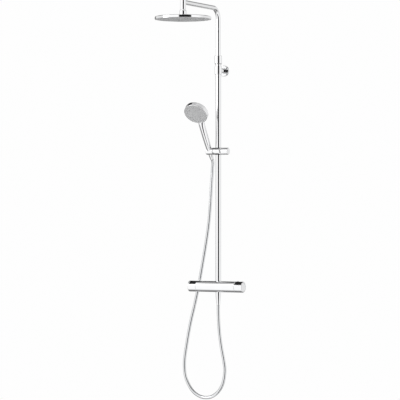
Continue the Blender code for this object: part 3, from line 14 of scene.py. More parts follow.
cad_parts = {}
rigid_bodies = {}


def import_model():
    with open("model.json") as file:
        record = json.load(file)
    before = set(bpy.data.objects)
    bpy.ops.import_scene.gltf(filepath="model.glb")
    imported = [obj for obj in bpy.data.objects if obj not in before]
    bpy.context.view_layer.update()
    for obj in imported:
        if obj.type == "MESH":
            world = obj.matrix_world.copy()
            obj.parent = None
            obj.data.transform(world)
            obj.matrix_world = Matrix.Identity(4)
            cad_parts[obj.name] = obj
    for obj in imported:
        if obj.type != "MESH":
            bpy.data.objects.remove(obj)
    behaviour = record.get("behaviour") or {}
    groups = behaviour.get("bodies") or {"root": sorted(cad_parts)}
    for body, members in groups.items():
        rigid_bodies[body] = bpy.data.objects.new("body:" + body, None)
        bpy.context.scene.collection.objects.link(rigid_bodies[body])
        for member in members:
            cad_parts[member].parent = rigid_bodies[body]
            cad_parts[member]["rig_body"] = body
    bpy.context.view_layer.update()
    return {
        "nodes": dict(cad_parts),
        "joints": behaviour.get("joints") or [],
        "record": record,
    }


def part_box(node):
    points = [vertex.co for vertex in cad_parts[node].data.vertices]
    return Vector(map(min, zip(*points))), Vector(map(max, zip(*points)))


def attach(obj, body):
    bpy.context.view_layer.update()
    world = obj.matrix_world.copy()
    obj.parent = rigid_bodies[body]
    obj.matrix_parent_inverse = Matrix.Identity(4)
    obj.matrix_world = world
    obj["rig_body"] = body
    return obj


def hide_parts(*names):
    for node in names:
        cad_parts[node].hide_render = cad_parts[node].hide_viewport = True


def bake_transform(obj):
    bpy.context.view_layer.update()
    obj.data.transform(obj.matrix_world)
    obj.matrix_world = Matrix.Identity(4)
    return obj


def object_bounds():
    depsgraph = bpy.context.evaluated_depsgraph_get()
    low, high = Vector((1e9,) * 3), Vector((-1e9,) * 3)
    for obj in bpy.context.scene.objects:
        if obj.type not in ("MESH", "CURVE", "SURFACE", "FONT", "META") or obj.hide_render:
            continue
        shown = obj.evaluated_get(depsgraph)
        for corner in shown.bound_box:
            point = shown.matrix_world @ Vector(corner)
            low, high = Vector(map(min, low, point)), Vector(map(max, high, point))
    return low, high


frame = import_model()

# ---------------------------------------------------------------- sizes that the frame doesn't hold
FINE = 96               # sides of a round piece
SMALL = 48              # sides of a small round piece
DISC = 192              # sides of the overhead head
BAR_SIDES = 128         # sides of the mixer bar and its handles
ARC_STEPS = 5           # steps in a rounded edge
SHARP_ANGLE = math.radians(38)  # an edge that turns more than this stays sharp
FIT = 0.0003            # gap between two faces that touch
SLIDING_FIT = 0.00035   # round a piece that slides or turns
OVERSHOOT = 0.004       # how far a cutting shape reaches past what it cuts
GRUB_RADIUS = 0.0022
GRUB_HOLE_RADIUS = 0.0026

HOSE_RADIUS = 0.007
HOSE_SIDES = 20
HOSE_PITCH = 0.0042     # one turn of the hose's spiral
HOSE_RINGS_PER_TURN = 6
ROUTE_STEPS = 24        # points from each point of the route to the next
HOSE_GROOVE = 0.00008   # depth of the spiral groove
HOSE_TAIL = 0.085       # length of each short stretch of hose at the holder
HOSE_STILL_BELOW = -1.25  # below this height the hose hangs still when the slider moves
HOSE_ROUTE = [
    (-0.0415, -0.0373, -0.3900),
    (-0.0416, -0.0316, -0.3980),
    (-0.0436, -0.0267, -0.4090),
    (-0.0465, -0.0235, -0.4250),
    (-0.0482, -0.0225, -0.4500),
    (-0.0520, -0.0240, -0.5050),
    (-0.0555, -0.0275, -0.5900),
    (-0.0625, -0.0310, -0.6800),
    (-0.0755, -0.0338, -0.7700),
    (-0.0905, -0.0360, -0.8560),
    (-0.1070, -0.0382, -0.9450),
    (-0.1255, -0.0402, -1.0300),
    (-0.1450, -0.0425, -1.1100),
    (-0.1625, -0.0452, -1.2050),
    (-0.1725, -0.0475, -1.2800),
    (-0.1690, -0.0498, -1.3380),
    (-0.1545, -0.0518, -1.3760),
    (-0.1300, -0.0538, -1.4110),
    (-0.0980, -0.0556, -1.4320),
    (-0.0640, -0.0572, -1.4385),
    (-0.0300, -0.0590, -1.4310),
    (0.0010, -0.0603, -1.4070),
    (0.0225, -0.0612, -1.3700),
    (0.0318, -0.0617, -1.3180),
    (0.0262, -0.0620, -1.2700),
    (0.0160, -0.0620, -1.2200),
    (0.0080, -0.0620, -1.1700),
    (0.0030, -0.0620, -1.1200),
    (0.0008, -0.0620, -1.0750),
    (0.0000, -0.0620, -1.0500),
    (0.0000, -0.0620, -1.0298),
]

# ---------------------------------------------------------------- camera
VIEW_AZIMUTH = math.radians(26)
VIEW_DISTANCE = 8.82        # to the riser
VIEW_HEIGHT = -0.538
VIEW_ASIDE = -0.0803        # of the picture's middle from the riser
LENS = 181.0
SHIFT_UP = -0.0175
TO_RIGHT = Vector((math.cos(VIEW_AZIMUTH), math.sin(VIEW_AZIMUTH), 0.0))
AHEAD = Vector((-math.sin(VIEW_AZIMUTH), math.cos(VIEW_AZIMUTH), 0.0))


def make_camera():
    riser_low, riser_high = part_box("riser_pipe")
    riser = (riser_low + riser_high) / 2
    lens = bpy.data.cameras.new("camera")
    lens.lens = LENS
    lens.sensor_width = 36.0
    lens.shift_y = SHIFT_UP
    lens.clip_end = 100.0
    camera = bpy.data.objects.new("camera", lens)
    bpy.context.scene.collection.objects.link(camera)
    spot = Vector((riser.x, riser.y, 0.0)) + TO_RIGHT * VIEW_ASIDE - AHEAD * VIEW_DISTANCE
    camera.location = (spot.x, spot.y, VIEW_HEIGHT)
    camera.rotation_euler = (math.radians(90), 0.0, VIEW_AZIMUTH)
    bpy.context.scene.camera = camera


# ---------------------------------------------------------------- finishes
def shader(name, metallic, ior=1.5, coat=0.0):
    """A new material with its nodes, its Principled shader and its object coordinates."""
    material = bpy.data.materials.new(name)
    material.use_nodes = True
    nodes = material.node_tree.nodes
    principled = nodes["Principled BSDF"]
    principled.inputs["Metallic"].default_value = metallic
    principled.inputs["IOR"].default_value = ior
    principled.inputs["Coat Weight"].default_value = coat
    where = nodes.new("ShaderNodeTexCoord").outputs["Object"]
    return material, nodes, material.node_tree.links, principled, where


def noise(nodes, links, where, scale, detail=3.0, stretch=(1.0, 1.0, 1.0)):
    """Noise over the object's own coordinates, which `stretch` draws out into a grain."""
    mapping = nodes.new("ShaderNodeMapping")
    mapping.inputs["Scale"].default_value = stretch
    links.new(where, mapping.inputs["Vector"])
    made = nodes.new("ShaderNodeTexNoise")
    made.inputs["Scale"].default_value = scale
    made.inputs["Detail"].default_value = detail
    links.new(mapping.outputs["Vector"], made.inputs["Vector"])
    return made.outputs["Fac"]


def spread(nodes, links, value, low, high):
    """The value, which is from 0 to 1, spread from low to high."""
    made = nodes.new("ShaderNodeMapRange")
    made.inputs["To Min"].default_value = low
    made.inputs["To Max"].default_value = high
    links.new(value, made.inputs["Value"])
    return made.outputs["Result"]


def two_tone(nodes, links, value, dark, light):
    made = nodes.new("ShaderNodeMix")
    made.data_type = "RGBA"
    made.inputs["A"].default_value = (*dark, 1.0)
    made.inputs["B"].default_value = (*light, 1.0)
    links.new(value, made.inputs["Factor"])
    return made.outputs["Result"]


def bump(nodes, links, value, depth, principled):
    made = nodes.new("ShaderNodeBump")
    made.inputs["Strength"].default_value = 0.6
    made.inputs["Distance"].default_value = depth
    links.new(value, made.inputs["Height"])
    links.new(made.outputs["Normal"], principled.inputs["Normal"])


def plated(name, dark, light, smooth, dull):
    """Bright plating: faint clouds in its polish, and the last trace of orange peel."""
    material, nodes, links, principled, where = shader(name, 1.0)
    clouds = noise(nodes, links, where, 22.0)
    wiped = noise(nodes, links, where, 130.0, 4.0, (1.0, 1.0, 0.12))
    links.new(two_tone(nodes, links, clouds, dark, light), principled.inputs["Base Color"])
    links.new(spread(nodes, links, wiped, smooth, dull), principled.inputs["Roughness"])
    bump(nodes, links, noise(nodes, links, where, 260.0, 1.0), 0.000004, principled)
    return material


def machined(name, dark, light, stretch, roughness):
    """Bare turned or drawn metal, with a grain along it."""
    material, nodes, links, principled, where = shader(name, 1.0)
    grain = noise(nodes, links, where, 500.0, 5.0, stretch)
    links.new(two_tone(nodes, links, grain, dark, light), principled.inputs["Base Color"])
    links.new(
        spread(nodes, links, grain, roughness - 0.08, roughness + 0.10),
        principled.inputs["Roughness"],
    )
    bump(nodes, links, grain, 0.00003, principled)
    return material


def moulded(name, dark, light, roughness, grain_scale, grain_depth, coat=0.0):
    """Moulded plastic or rubber with the fine texture of its mould."""
    material, nodes, links, principled, where = shader(name, 0.0, coat=coat)
    clouds = noise(nodes, links, where, 35.0)
    grain = noise(nodes, links, where, grain_scale, 2.0)
    links.new(two_tone(nodes, links, clouds, dark, light), principled.inputs["Base Color"])
    links.new(
        spread(nodes, links, grain, roughness - 0.06, roughness + 0.08),
        principled.inputs["Roughness"],
    )
    bump(nodes, links, grain, grain_depth, principled)
    return material


FINISHES = {
    "chrome": plated("bright_chrome", (0.90, 0.905, 0.915), (0.965, 0.965, 0.97), 0.015, 0.045),
    "hose_silver": plated("silver_hose", (0.70, 0.71, 0.73), (0.85, 0.855, 0.86), 0.04, 0.08),
    "steel": machined("turned_steel", (0.50, 0.51, 0.53), (0.68, 0.68, 0.69), (0.1, 1, 1), 0.30),
    "brass": machined("turned_brass", (0.62, 0.45, 0.18), (0.80, 0.62, 0.30), (1, 1, 0.1), 0.33),
    "dark_plastic": moulded(
        "dark_plastic", (0.022, 0.022, 0.025), (0.045, 0.045, 0.05), 0.42, 900.0, 0.00003
    ),
    "white_plastic": moulded(
        "white_plastic", (0.78, 0.78, 0.77), (0.86, 0.86, 0.85), 0.38, 700.0, 0.00002
    ),
    "spray_grey": moulded(
        "spray_grey", (0.76, 0.765, 0.77), (0.86, 0.86, 0.865), 0.36, 800.0, 0.00003, 0.15
    ),
    "silicone": moulded(
        "nozzle_silicone", (0.46, 0.47, 0.48), (0.56, 0.565, 0.57), 0.55, 1100.0, 0.00003
    ),
    "rubber": moulded(
        "sealing_rubber", (0.015, 0.015, 0.016), (0.035, 0.035, 0.036), 0.66, 900.0, 0.00004
    ),
}


# ---------------------------------------------------------------- making pieces
ALONG_X = Matrix.Rotation(math.radians(90), 4, "Y")
ALONG_BACK_X = Matrix.Rotation(math.radians(-90), 4, "Y")
OUT_FROM_WALL = Matrix.Rotation(math.radians(90), 4, "X")


def body_of(node):
    return frame["nodes"][node]["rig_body"]


def slot_of(node):
    for part in frame["record"]["subparts"]:
        if part["node"] == node:
            return part["material_slot"]
    raise KeyError(node)


def mesh_piece(name, shape, finish, where=Matrix.Identity(4)):
    """An object in its place, with every face turned outwards."""
    bmesh.ops.remove_doubles(shape, verts=shape.verts, dist=1e-7)
    bmesh.ops.recalc_face_normals(shape, faces=shape.faces)
    if shape.calc_volume(signed=True) < 0:
        bmesh.ops.reverse_faces(shape, faces=shape.faces)
    mesh = bpy.data.meshes.new(name)
    shape.to_mesh(mesh)
    shape.free()
    mesh.transform(where)
    mesh.shade_smooth()
    mesh.set_sharp_from_angle(angle=SHARP_ANGLE)
    mesh.materials.append(FINISHES[finish])
    made = bpy.data.objects.new(name, mesh)
    bpy.context.scene.collection.objects.link(made)
    return made


def stand_for(piece, *nodes):
    """The piece takes the place of CAD nodes of one body."""
    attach(piece, body_of(nodes[0]))
    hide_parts(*nodes)
    even = piece.modifiers.new("even_shading", "WEIGHTED_NORMAL")
    even.keep_sharp = True
    return piece


def rounded(outline, steps=ARC_STEPS):
    """The outline, with each corner that gives a third number turned into an arc of that radius."""
    smooth = []
    for i, corner in enumerate(outline):
        here = Vector(corner[:2])
        if len(corner) == 2:
            smooth.append(here)
            continue
        back = (Vector(outline[i - 1][:2]) - here).normalized()
        on = (Vector(outline[(i + 1) % len(outline)][:2]) - here).normalized()
        half = back.angle(on) / 2
        start = here + back * corner[2] / math.tan(half)
        end = here + on * corner[2] / math.tan(half)
        centre = here + (back + on).normalized() * corner[2] / math.sin(half)
        one, other = start - centre, end - centre
        swing = one.angle(other)
        for k in range(steps + 1):
            t = k / steps
            across = one * math.sin((1 - t) * swing) + other * math.sin(t * swing)
            smooth.append(centre + across / math.sin(swing))
    return smooth


def turned_shape(outline, segments=FINE):
    """The outline of (radius, height) corners, spun about its height axis."""
    shape = bmesh.new()
    corners = [shape.verts.new((point[0], 0.0, point[1])) for point in rounded(outline)]
    edges = [shape.edges.new((corners[i - 1], corners[i])) for i in range(1, len(corners))]
    if min(corners[0].co.x, corners[-1].co.x) > 0:
        edges.append(shape.edges.new((corners[-1], corners[0])))
    bmesh.ops.spin(
        shape,
        geom=corners + edges,
        cent=(0, 0, 0),
        axis=(0, 0, 1),
        angle=math.tau,
        steps=segments,
        use_merge=True,
    )
    return shape


def turned(node, outline, where, segments=FINE):
    """A turned piece that takes the place of a CAD node."""
    name = node + "_finished"
    piece = mesh_piece(name, turned_shape(outline, segments), slot_of(node), where)
    return stand_for(piece, node)


def cutter(name, outline, where, segments=SMALL):
    made = mesh_piece(name, turned_shape(outline, segments), "dark_plastic", where)
    return hidden(made)


def hidden(made):
    made.hide_render = True
    made.hide_viewport = True
    return made


def box_cutter(name, low, high, where):
    shape = bmesh.new()
    bmesh.ops.create_cube(shape, size=1.0)
    bmesh.ops.scale(shape, vec=Vector(high) - Vector(low), verts=shape.verts)
    bmesh.ops.translate(shape, vec=(Vector(high) + Vector(low)) / 2, verts=shape.verts)
    return hidden(mesh_piece(name, shape, "dark_plastic", where))


def cut(piece, tool, operation="DIFFERENCE"):
    """Applies a Boolean, so that the piece's mesh is final, and removes the tool."""
    modifier = piece.modifiers.new("cut", "BOOLEAN")
    modifier.operation = operation
    modifier.object = tool
    modifier.solver = "EXACT"
    bpy.context.view_layer.update()
    graph = bpy.context.evaluated_depsgraph_get()
    mesh = bpy.data.meshes.new_from_object(piece.evaluated_get(graph))
    piece.modifiers.remove(modifier)
    piece.data = mesh
    bpy.data.objects.remove(tool)
    return piece


def cut_piece(name, outline, finish, where, tools, segments=FINE):
    """A turned shape with tools taken out of it, still without a body.

    A tool that does something else comes in a pair with the name of its operation.
    """
    piece = mesh_piece(name, turned_shape(outline, segments), finish, where)
    for tool in tools:
        if isinstance(tool, tuple):
            cut(piece, *tool)
        else:
            cut(piece, tool)
    piece.data.set_sharp_from_angle(angle=SHARP_ANGLE)
    return piece


def tube(outer, inner, low, high, edge):
    """The outline of a tube with rounded outer edges."""
    return [(inner, low), (outer, low, edge), (outer, high, edge), (inner, high)]


def rod(radius, low, high, edge):
    """The outline of a rod with rounded edges."""
    return [(0, low), (radius, low, edge), (radius, high, edge), (0, high)]


def drum(radius, low, high):
    """The outline of a rod with sharp edges."""
    return [(0, low), (radius, low), (radius, high), (0, high)]


def between(before, here, after, beyond, t):
    """The point at t, from 0 to 1, on the smooth curve (Catmull-Rom) from here to after."""
    return 0.5 * (
        2 * here
        + (after - before) * t
        + (2 * before - 5 * here + 4 * after - beyond) * t**2
        + (3 * here - before - 3 * after + beyond) * t**3
    )


def wrap(shape, rings):
    """Faces from each ring of corners to the next, and over the first ring and the last."""
    for one, other in zip(rings, rings[1:]):
        for k in range(len(one)):
            j = (k + 1) % len(one)
            shape.faces.new((one[k], one[j], other[j], other[k]))
    shape.faces.new(rings[0])
    shape.faces.new(rings[-1])


def upright(node):
    """(place, radius, low, high) of a node that is turned about a vertical axis."""
    low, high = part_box(node)
    return (
        Matrix.Translation(((low.x + high.x) / 2, (low.y + high.y) / 2, 0)),
        (high.x - low.x) / 2,
        low.z,
        high.z,
    )


def level(node):
    """(place, radius, low, high) of a node that is turned about a line along X."""
    low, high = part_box(node)
    place = Matrix.Translation((0, (low.y + high.y) / 2, (low.z + high.z) / 2)) @ ALONG_X
    return place, (high.z - low.z) / 2, low.x, high.x


def outwards(node):
    """(place, radius, inner end, outer end) of a node at one end of the mixer bar."""
    low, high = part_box(node)
    turn = ALONG_X if low.x > 0 else ALONG_BACK_X
    place = Matrix.Translation((0, (low.y + high.y) / 2, (low.z + high.z) / 2)) @ turn
    ends = sorted((abs(low.x), abs(high.x)))
    return place, (high.z - low.z) / 2, *ends


def off_wall(node):
    """(place, radius, back, front) of a node that is turned about a line along Y."""
    low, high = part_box(node)
    place = Matrix.Translation(((low.x + high.x) / 2, 0, (low.z + high.z) / 2)) @ OUT_FROM_WALL
    return place, (high.x - low.x) / 2, -high.y, -low.y


# ---------------------------------------------------------------- hose
def smooth_route(points):
    """Closely spaced points on the smooth curve through the route's own points."""
    route = [Vector(point) for point in points]
    route = [route[0] * 2 - route[1]] + route + [route[-1] * 2 - route[-2]]
    fine = []
    for before, here, after, beyond in zip(route, route[1:], route[2:], route[3:]):
        for i in range(ROUTE_STEPS):
            fine.append(between(before, here, after, beyond, i / ROUTE_STEPS))
    fine.append(route[-2])
    return fine


def evenly(points, spacing):
    """(points a spacing apart along the line, that spacing)."""
    lengths = [0.0]
    for one, other in zip(points, points[1:]):
        lengths.append(lengths[-1] + (other - one).length)
    count = round(lengths[-1] / spacing)
    spaced = []
    at = 0
    for i in range(count + 1):
        wanted = lengths[-1] * i / count
        while at < len(points) - 2 and lengths[at + 1] < wanted:
            at += 1
        share = (wanted - lengths[at]) / (lengths[at + 1] - lengths[at])
        spaced.append(points[at].lerp(points[at + 1], min(share, 1.0)))
    return spaced, lengths[-1] / count


def hose_rings():
    """(centre, ring of points) along the whole hose, from the hand shower down and round."""
    centres, step = evenly(smooth_route(HOSE_ROUTE), HOSE_PITCH / HOSE_RINGS_PER_TURN)
    side = Vector((1.0, 0.0, 0.0))
    rings = []
    for i, centre in enumerate(centres):
        ahead = centres[min(i + 1, len(centres) - 1)] - centres[max(i - 1, 0)]
        ahead.normalize()
        side = (side - ahead * side.dot(ahead)).normalized()
        other = ahead.cross(side)
        ring = []
        for k in range(HOSE_SIDES):
            turn = math.tau * k / HOSE_SIDES
            phase = i * step / HOSE_PITCH + k / HOSE_SIDES
            depth = HOSE_GROOVE * (0.5 - 0.5 * math.cos(math.tau * phase)) ** 2
            ring.append(
                centre + (side * math.cos(turn) + other * math.sin(turn)) * (HOSE_RADIUS - depth)
            )
        rings.append((centre, ring))
    return rings, step


def hose_piece(name, rings):
    shape = bmesh.new()
    wrap(shape, [[shape.verts.new(point) for point in ring] for _, ring in rings])
    return mesh_piece(name, shape, "hose_silver")


def make_hose(top_pieces, bottom_pieces):
    """One hose, cut into stretches from the hand shower to the mixer; only the loop at the bottom goes
    with a body, the column.
    """
    rings, step = hose_rings()
    tail = round(HOSE_TAIL / step)
    still = next(i for i, (centre, _) in enumerate(rings) if centre.z < HOSE_STILL_BELOW)
    cuts = [0, tail, 2 * tail, 3 * tail, still, len(rings) - 1]
    stretches = [
        ("hose_at_hand_shower", ("holder", "handset")),
        ("hose_at_holder", ("slider", "holder")),
        ("hose_at_slider", ("slider_liner", "slider")),
        ("hose_down_riser", ("column", "slider_liner")),
        ("hose_loop", ("column",)),
    ]
    for (name, bodies), first, last in zip(stretches, cuts, cuts[1:]):
        piece = hose_piece(name, rings[first : last + 1])
        if len(bodies) == 2:
            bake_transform(piece)
        else:
            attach(piece, bodies[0])
        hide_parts("hose")


# ---------------------------------------------------------------- the hand shower's own axes
PIVOT = Vector(next(j for j in frame["joints"] if j["name"] == "holder_tilt")["pos_m"])
HANDLE_WAY = Vector(next(j for j in frame["joints"] if j["name"] == "handset_lift")["axis"])
HANDLE_LEAN = math.atan2(-HANDLE_WAY.y, HANDLE_WAY.z)
HANDSET = Matrix.Translation(PIVOT) @ Matrix.Rotation(HANDLE_LEAN, 4, "X")
CONE_TOP = 0.0142           # along the handle, from the pivot
CONE_LENGTH = 0.0552
CONE_TOP_RADIUS = 0.012
CONE_END_RADIUS = 0.008
CONE_COLLAR = 0.012         # straight part of the lower nut, above its taper
HOSE_BORE_RADIUS = 0.0052
HAND_HEAD_TILT = math.radians(98.7)
HAND_HEAD_ALONG = 0.2145
HAND_HEAD_FORWARD = 0.0087
HAND_HEAD_RADIUS = 0.0525
HAND_HEAD_FRONT = 0.0153
HAND_HEAD_BACK = 0.0160
HAND_FACE_FLOOR = 0.0068
HANDLE_BORE_RADIUS = 0.0085
HANDLE_BORE_LENGTH = 0.125
HAND_HEAD = (
    HANDSET
    @ Matrix.Translation((0, 0, HAND_HEAD_ALONG))
    @ Matrix.Rotation(HAND_HEAD_TILT, 4, "X")
    @ Matrix.Translation((0, 0, HAND_HEAD_FORWARD))
)


def hose_nuts():
    """The two cone nuts, one standing in the holder and one under the mixer."""
    end = CONE_TOP - CONE_LENGTH
    top = turned(
        "hose_top_nut",
        [
            (HOSE_BORE_RADIUS, CONE_TOP),
            (HOSE_BORE_RADIUS, end),
            (CONE_END_RADIUS, end, 0.0009),
            (CONE_TOP_RADIUS, CONE_TOP, 0.0010),
        ],
        HANDSET,
    )
    place, radius, low, high = upright("hose_bottom_nut")
    bottom = turned(
        "hose_bottom_nut",
        [
            (HOSE_BORE_RADIUS, high),
            (HOSE_BORE_RADIUS, low),
            (CONE_END_RADIUS, low, 0.0009),
            (radius, high - CONE_COLLAR, 0.010),
            (radius, high, 0.0010),
        ],
        place,
    )
    washers = [frame["nodes"]["hose_top_washer"], frame["nodes"]["hose_bottom_washer"]]
    return [top, washers[0]], [bottom, washers[1]]


# ---------------------------------------------------------------- wall bracket
def make_bracket():
    place, radius, back, front = off_wall("wall_plate")
    thickness = 0.004
    spigot = 0.006
    screw_pitch = 0.027
    screw_hole = 0.0025
    countersink = 0.0048
    holes = []
    for side in (-1, 1):
        at = place @ Matrix.Translation((0, side * screw_pitch / 2, 0))
        sunk = [
            (0, -OVERSHOOT),
            (screw_hole, -OVERSHOOT),
            (screw_hole, thickness / 2),
            (countersink, thickness + FIT),
            (countersink, thickness + OVERSHOOT),
            (0, thickness + OVERSHOOT),
        ]
        holes.append(cutter(f"wall_screw_hole_{side}", sunk, at))
    plate = cut_piece(
        "wall_plate_finished",
        [
            (0, back),
            (radius, back, 0.0003),
            (radius, thickness, 0.0008),
            (spigot, thickness),
            (spigot, front, 0.0005),
            (0, front),
        ],
        "steel",
        place,
        holes,
    )
    stand_for(plate, "wall_plate")

    place, radius, back, front = off_wall("wall_rosette")
    wall = 0.0015
    post_radius = off_wall("bracket_post")[1]
    turned(
        "wall_rosette",
        [
            (radius - wall, back),
            (radius, back, 0.0004),
            (radius, front, 0.0022),
            (post_radius + FIT, front, 0.0004),
            (post_radius + FIT, front - wall),
            (radius - wall, front - wall),
        ],
        place,
    )

    ring_place, ring_radius, ring_low, ring_high = upright("bracket_ring")
    place, radius, back, front = off_wall("bracket_post")
    riser_place, riser_radius, _, _ = upright("riser_pipe")
    grub_low, grub_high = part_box("bracket_grub_screw")
    grub_place = Matrix.Translation((0, (grub_low.y + grub_high.y) / 2, 0))
    socket_floor = 2 * spigot + thickness + FIT
    saddle = drum(ring_radius + FIT / 3, -2 * radius, 2 * radius)
    grub_hole = drum(GRUB_HOLE_RADIUS, -radius - OVERSHOOT, -spigot)
    post = cut_piece(
        "bracket_post_finished",
        [
            (0, socket_floor),
            (spigot + FIT, socket_floor),
            (spigot + FIT, back),
            (radius, back),
            (radius, front + OVERSHOOT),
            (0, front + OVERSHOOT),
        ],
        "chrome",
        place,
        [
            cutter("post_saddle", saddle, riser_place, FINE),
            cutter("post_grub_hole", grub_hole, grub_place),
        ],
    )
    stand_for(post, "bracket_post")
    liner_radius = upright("bracket_liner")[1]
    for node, outer, inner, edge in (
        ("bracket_ring", ring_radius, liner_radius, 0.0009),
        ("bracket_liner", liner_radius, riser_radius, 0.0002),
    ):
        turned(node, tube(outer, inner + FIT, ring_low, ring_high, edge), ring_place)
    socket_screw("bracket_grub_screw", grub_place, grub_low.z, grub_high.z, -1)


def socket_screw(node, place, low, high, way):
    """A grub screw with a hexagon socket in the end that faces out."""
    depth = 0.0016
    socket = 0.00115
    outer = high if way > 0 else low
    ends = sorted((outer - way * depth, outer + way * OVERSHOOT))
    screw = cut_piece(
        node + "_finished",
        rod(GRUB_RADIUS, low, high, 0.0004),
        "steel",
        place,
        [cutter(node + "_socket", drum(socket, *ends), place, 6)],
        SMALL,
    )
    stand_for(screw, node)


# ---------------------------------------------------------------- riser and coupling
def make_riser():
    place, radius, low, high = upright("riser_pipe")
    wall = 0.001
    turned("riser_pipe", tube(radius, radius - wall, low, high, 0.0003), place)

    sleeve_place, sleeve, bottom, top = upright("coupling_sleeve")
    arm_radius = upright("shower_arm")[1]
    step = high + 0.0012
    seam = step + 0.0035
    groove = 0.0004
    grub_low, grub_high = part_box("coupling_grub_screw")
    grub_z = (grub_low.z + grub_high.z) / 2
    riser_y = place.translation.y
    across = Matrix.Translation((0, riser_y, grub_z)) @ OUT_FROM_WALL
    start, end = sorted((riser_y - grub_low.y, riser_y - grub_high.y))
    way = 1 if start > 0 else -1
    hole_ends = sorted((way * (radius - FIT), way * (sleeve + OVERSHOOT)))
    piece = cut_piece(
        "coupling_sleeve_finished",
        [
            (radius + FIT, bottom),
            (sleeve, bottom, 0.0007),
            (sleeve, seam - groove),
            (sleeve - groove, seam - groove / 2),
            (sleeve - groove, seam + groove / 2),
            (sleeve, seam + groove),
            (sleeve, top, 0.0018),
            (arm_radius + FIT, top, 0.0004),
            (arm_radius + FIT, step),
            (radius + FIT, step),
        ],
        "chrome",
        sleeve_place,
        [cutter("sleeve_grub_hole", drum(GRUB_HOLE_RADIUS, *hole_ends), across)],
    )
    stand_for(piece, "coupling_sleeve")
    socket_screw("coupling_grub_screw", across, start, end, way)
    washer_place, washer, low, high = upright("coupling_washer")
    turned("coupling_washer", tube(washer, radius + FIT, low, high, 0.0004), washer_place)


# ---------------------------------------------------------------- arm
ARM_WALL = 0.0015
ARM_BEND_RADIUS = 0.050
ARM_BEND_STEPS = 40
ARM_SIDES = 72


def make_arm():
    low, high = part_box("shower_arm")
    radius = (high.x - low.x) / 2
    axis_y = high.y - radius
    level_z = high.z - radius
    stations = [(axis_y, low.z, 0.0)]
    for i in range(ARM_BEND_STEPS + 1):
        turn = math.radians(90) * i / ARM_BEND_STEPS
        y = axis_y - ARM_BEND_RADIUS * (1 - math.cos(turn))
        z = level_z - ARM_BEND_RADIUS * (1 - math.sin(turn))
        stations.append((y, z, turn))
    stations.append((low.y, level_z, math.radians(90)))
    shape = bmesh.new()
    skins = []
    for size in (radius, radius - ARM_WALL):
        rings = []
        for y, z, slope in stations:
            across = Vector((0.0, math.cos(slope), math.sin(slope)))
            ring = []
            for k in range(ARM_SIDES):
                turn = math.tau * k / ARM_SIDES
                side = Vector((math.cos(turn), 0.0, 0.0)) + across * math.sin(turn)
                ring.append(shape.verts.new(Vector((0.0, y, z)) + side * size))
            rings.append(ring)
        skins.append(rings)
    outer, inner = skins
    ends = [(outer[0], inner[0]), (outer[-1], inner[-1])]
    for one, other in [*zip(outer, outer[1:]), *zip(inner, inner[1:]), *ends]:
        for k in range(ARM_SIDES):
            j = (k + 1) % ARM_SIDES
            shape.faces.new((one[k], one[j], other[j], other[k]))
    stand_for(mesh_piece("shower_arm_finished", shape, "chrome"), "shower_arm")

    place, fitting, bottom, top = upright("arm_end_fitting")
    stem = 0.0045
    stem_room = 0.006
    bore_top = upright("ball_stem")[3] + stem_room
    socket_floor = 0.005
    socket_place = Matrix.Translation((0, place.translation.y, level_z)) @ OUT_FROM_WALL
    socket = drum(radius + FIT / 3, -fitting - OVERSHOOT, -socket_floor)
    piece = cut_piece(
        "arm_end_fitting_finished",
        [
            (0, bore_top),
            (stem + FIT, bore_top),
            (stem + FIT, bottom),
            (fitting, bottom, 0.0010),
            (fitting, top, 0.0032),
            (0, top),
        ],
        "chrome",
        place,
        [cutter("arm_socket", socket, socket_place, ARM_SIDES)],
    )
    stand_for(piece, "arm_end_fitting")


# ---------------------------------------------------------------- overhead head
HEAD_NOZZLE_RINGS = 10
HEAD_NOZZLE_STEP = 0.0106
NOZZLE_RADIUS = 0.0019
NOZZLE_TIP = 0.0012
NOZZLE_PROUD = 0.0012
NOZZLE_ROOT = 0.0006
NOZZLE_SIDES = 10


def nozzles(shape, spots, way, root, tip_at):
    """Small cones with a rounded tip and a hole down the middle, at spots, pointing along the axis."""
    profile = [
        (NOZZLE_RADIUS, root),
        (NOZZLE_RADIUS * 0.92, root + way * abs(tip_at - root) * 0.45),
        (NOZZLE_TIP, tip_at - way * 0.00015),
        (NOZZLE_TIP * 0.85, tip_at),
        (NOZZLE_TIP * 0.45, tip_at),
        (NOZZLE_TIP * 0.40, tip_at - way * 0.0009),
    ]
    for x, y in spots:
        rings = []
        for radius, height in profile:
            ring = ring_spots(radius, NOZZLE_SIDES)
            rings.append([shape.verts.new((x + a, y + b, height)) for a, b in ring])
        wrap(shape, rings)


def ring_spots(radius, count, turn=0.0):
    """Evenly spaced (x, y) on a circle, the first of them at the angle turn."""
    angles = [math.tau * i / count + turn for i in range(count)]
    return [(radius * math.cos(angle), radius * math.sin(angle)) for angle in angles]


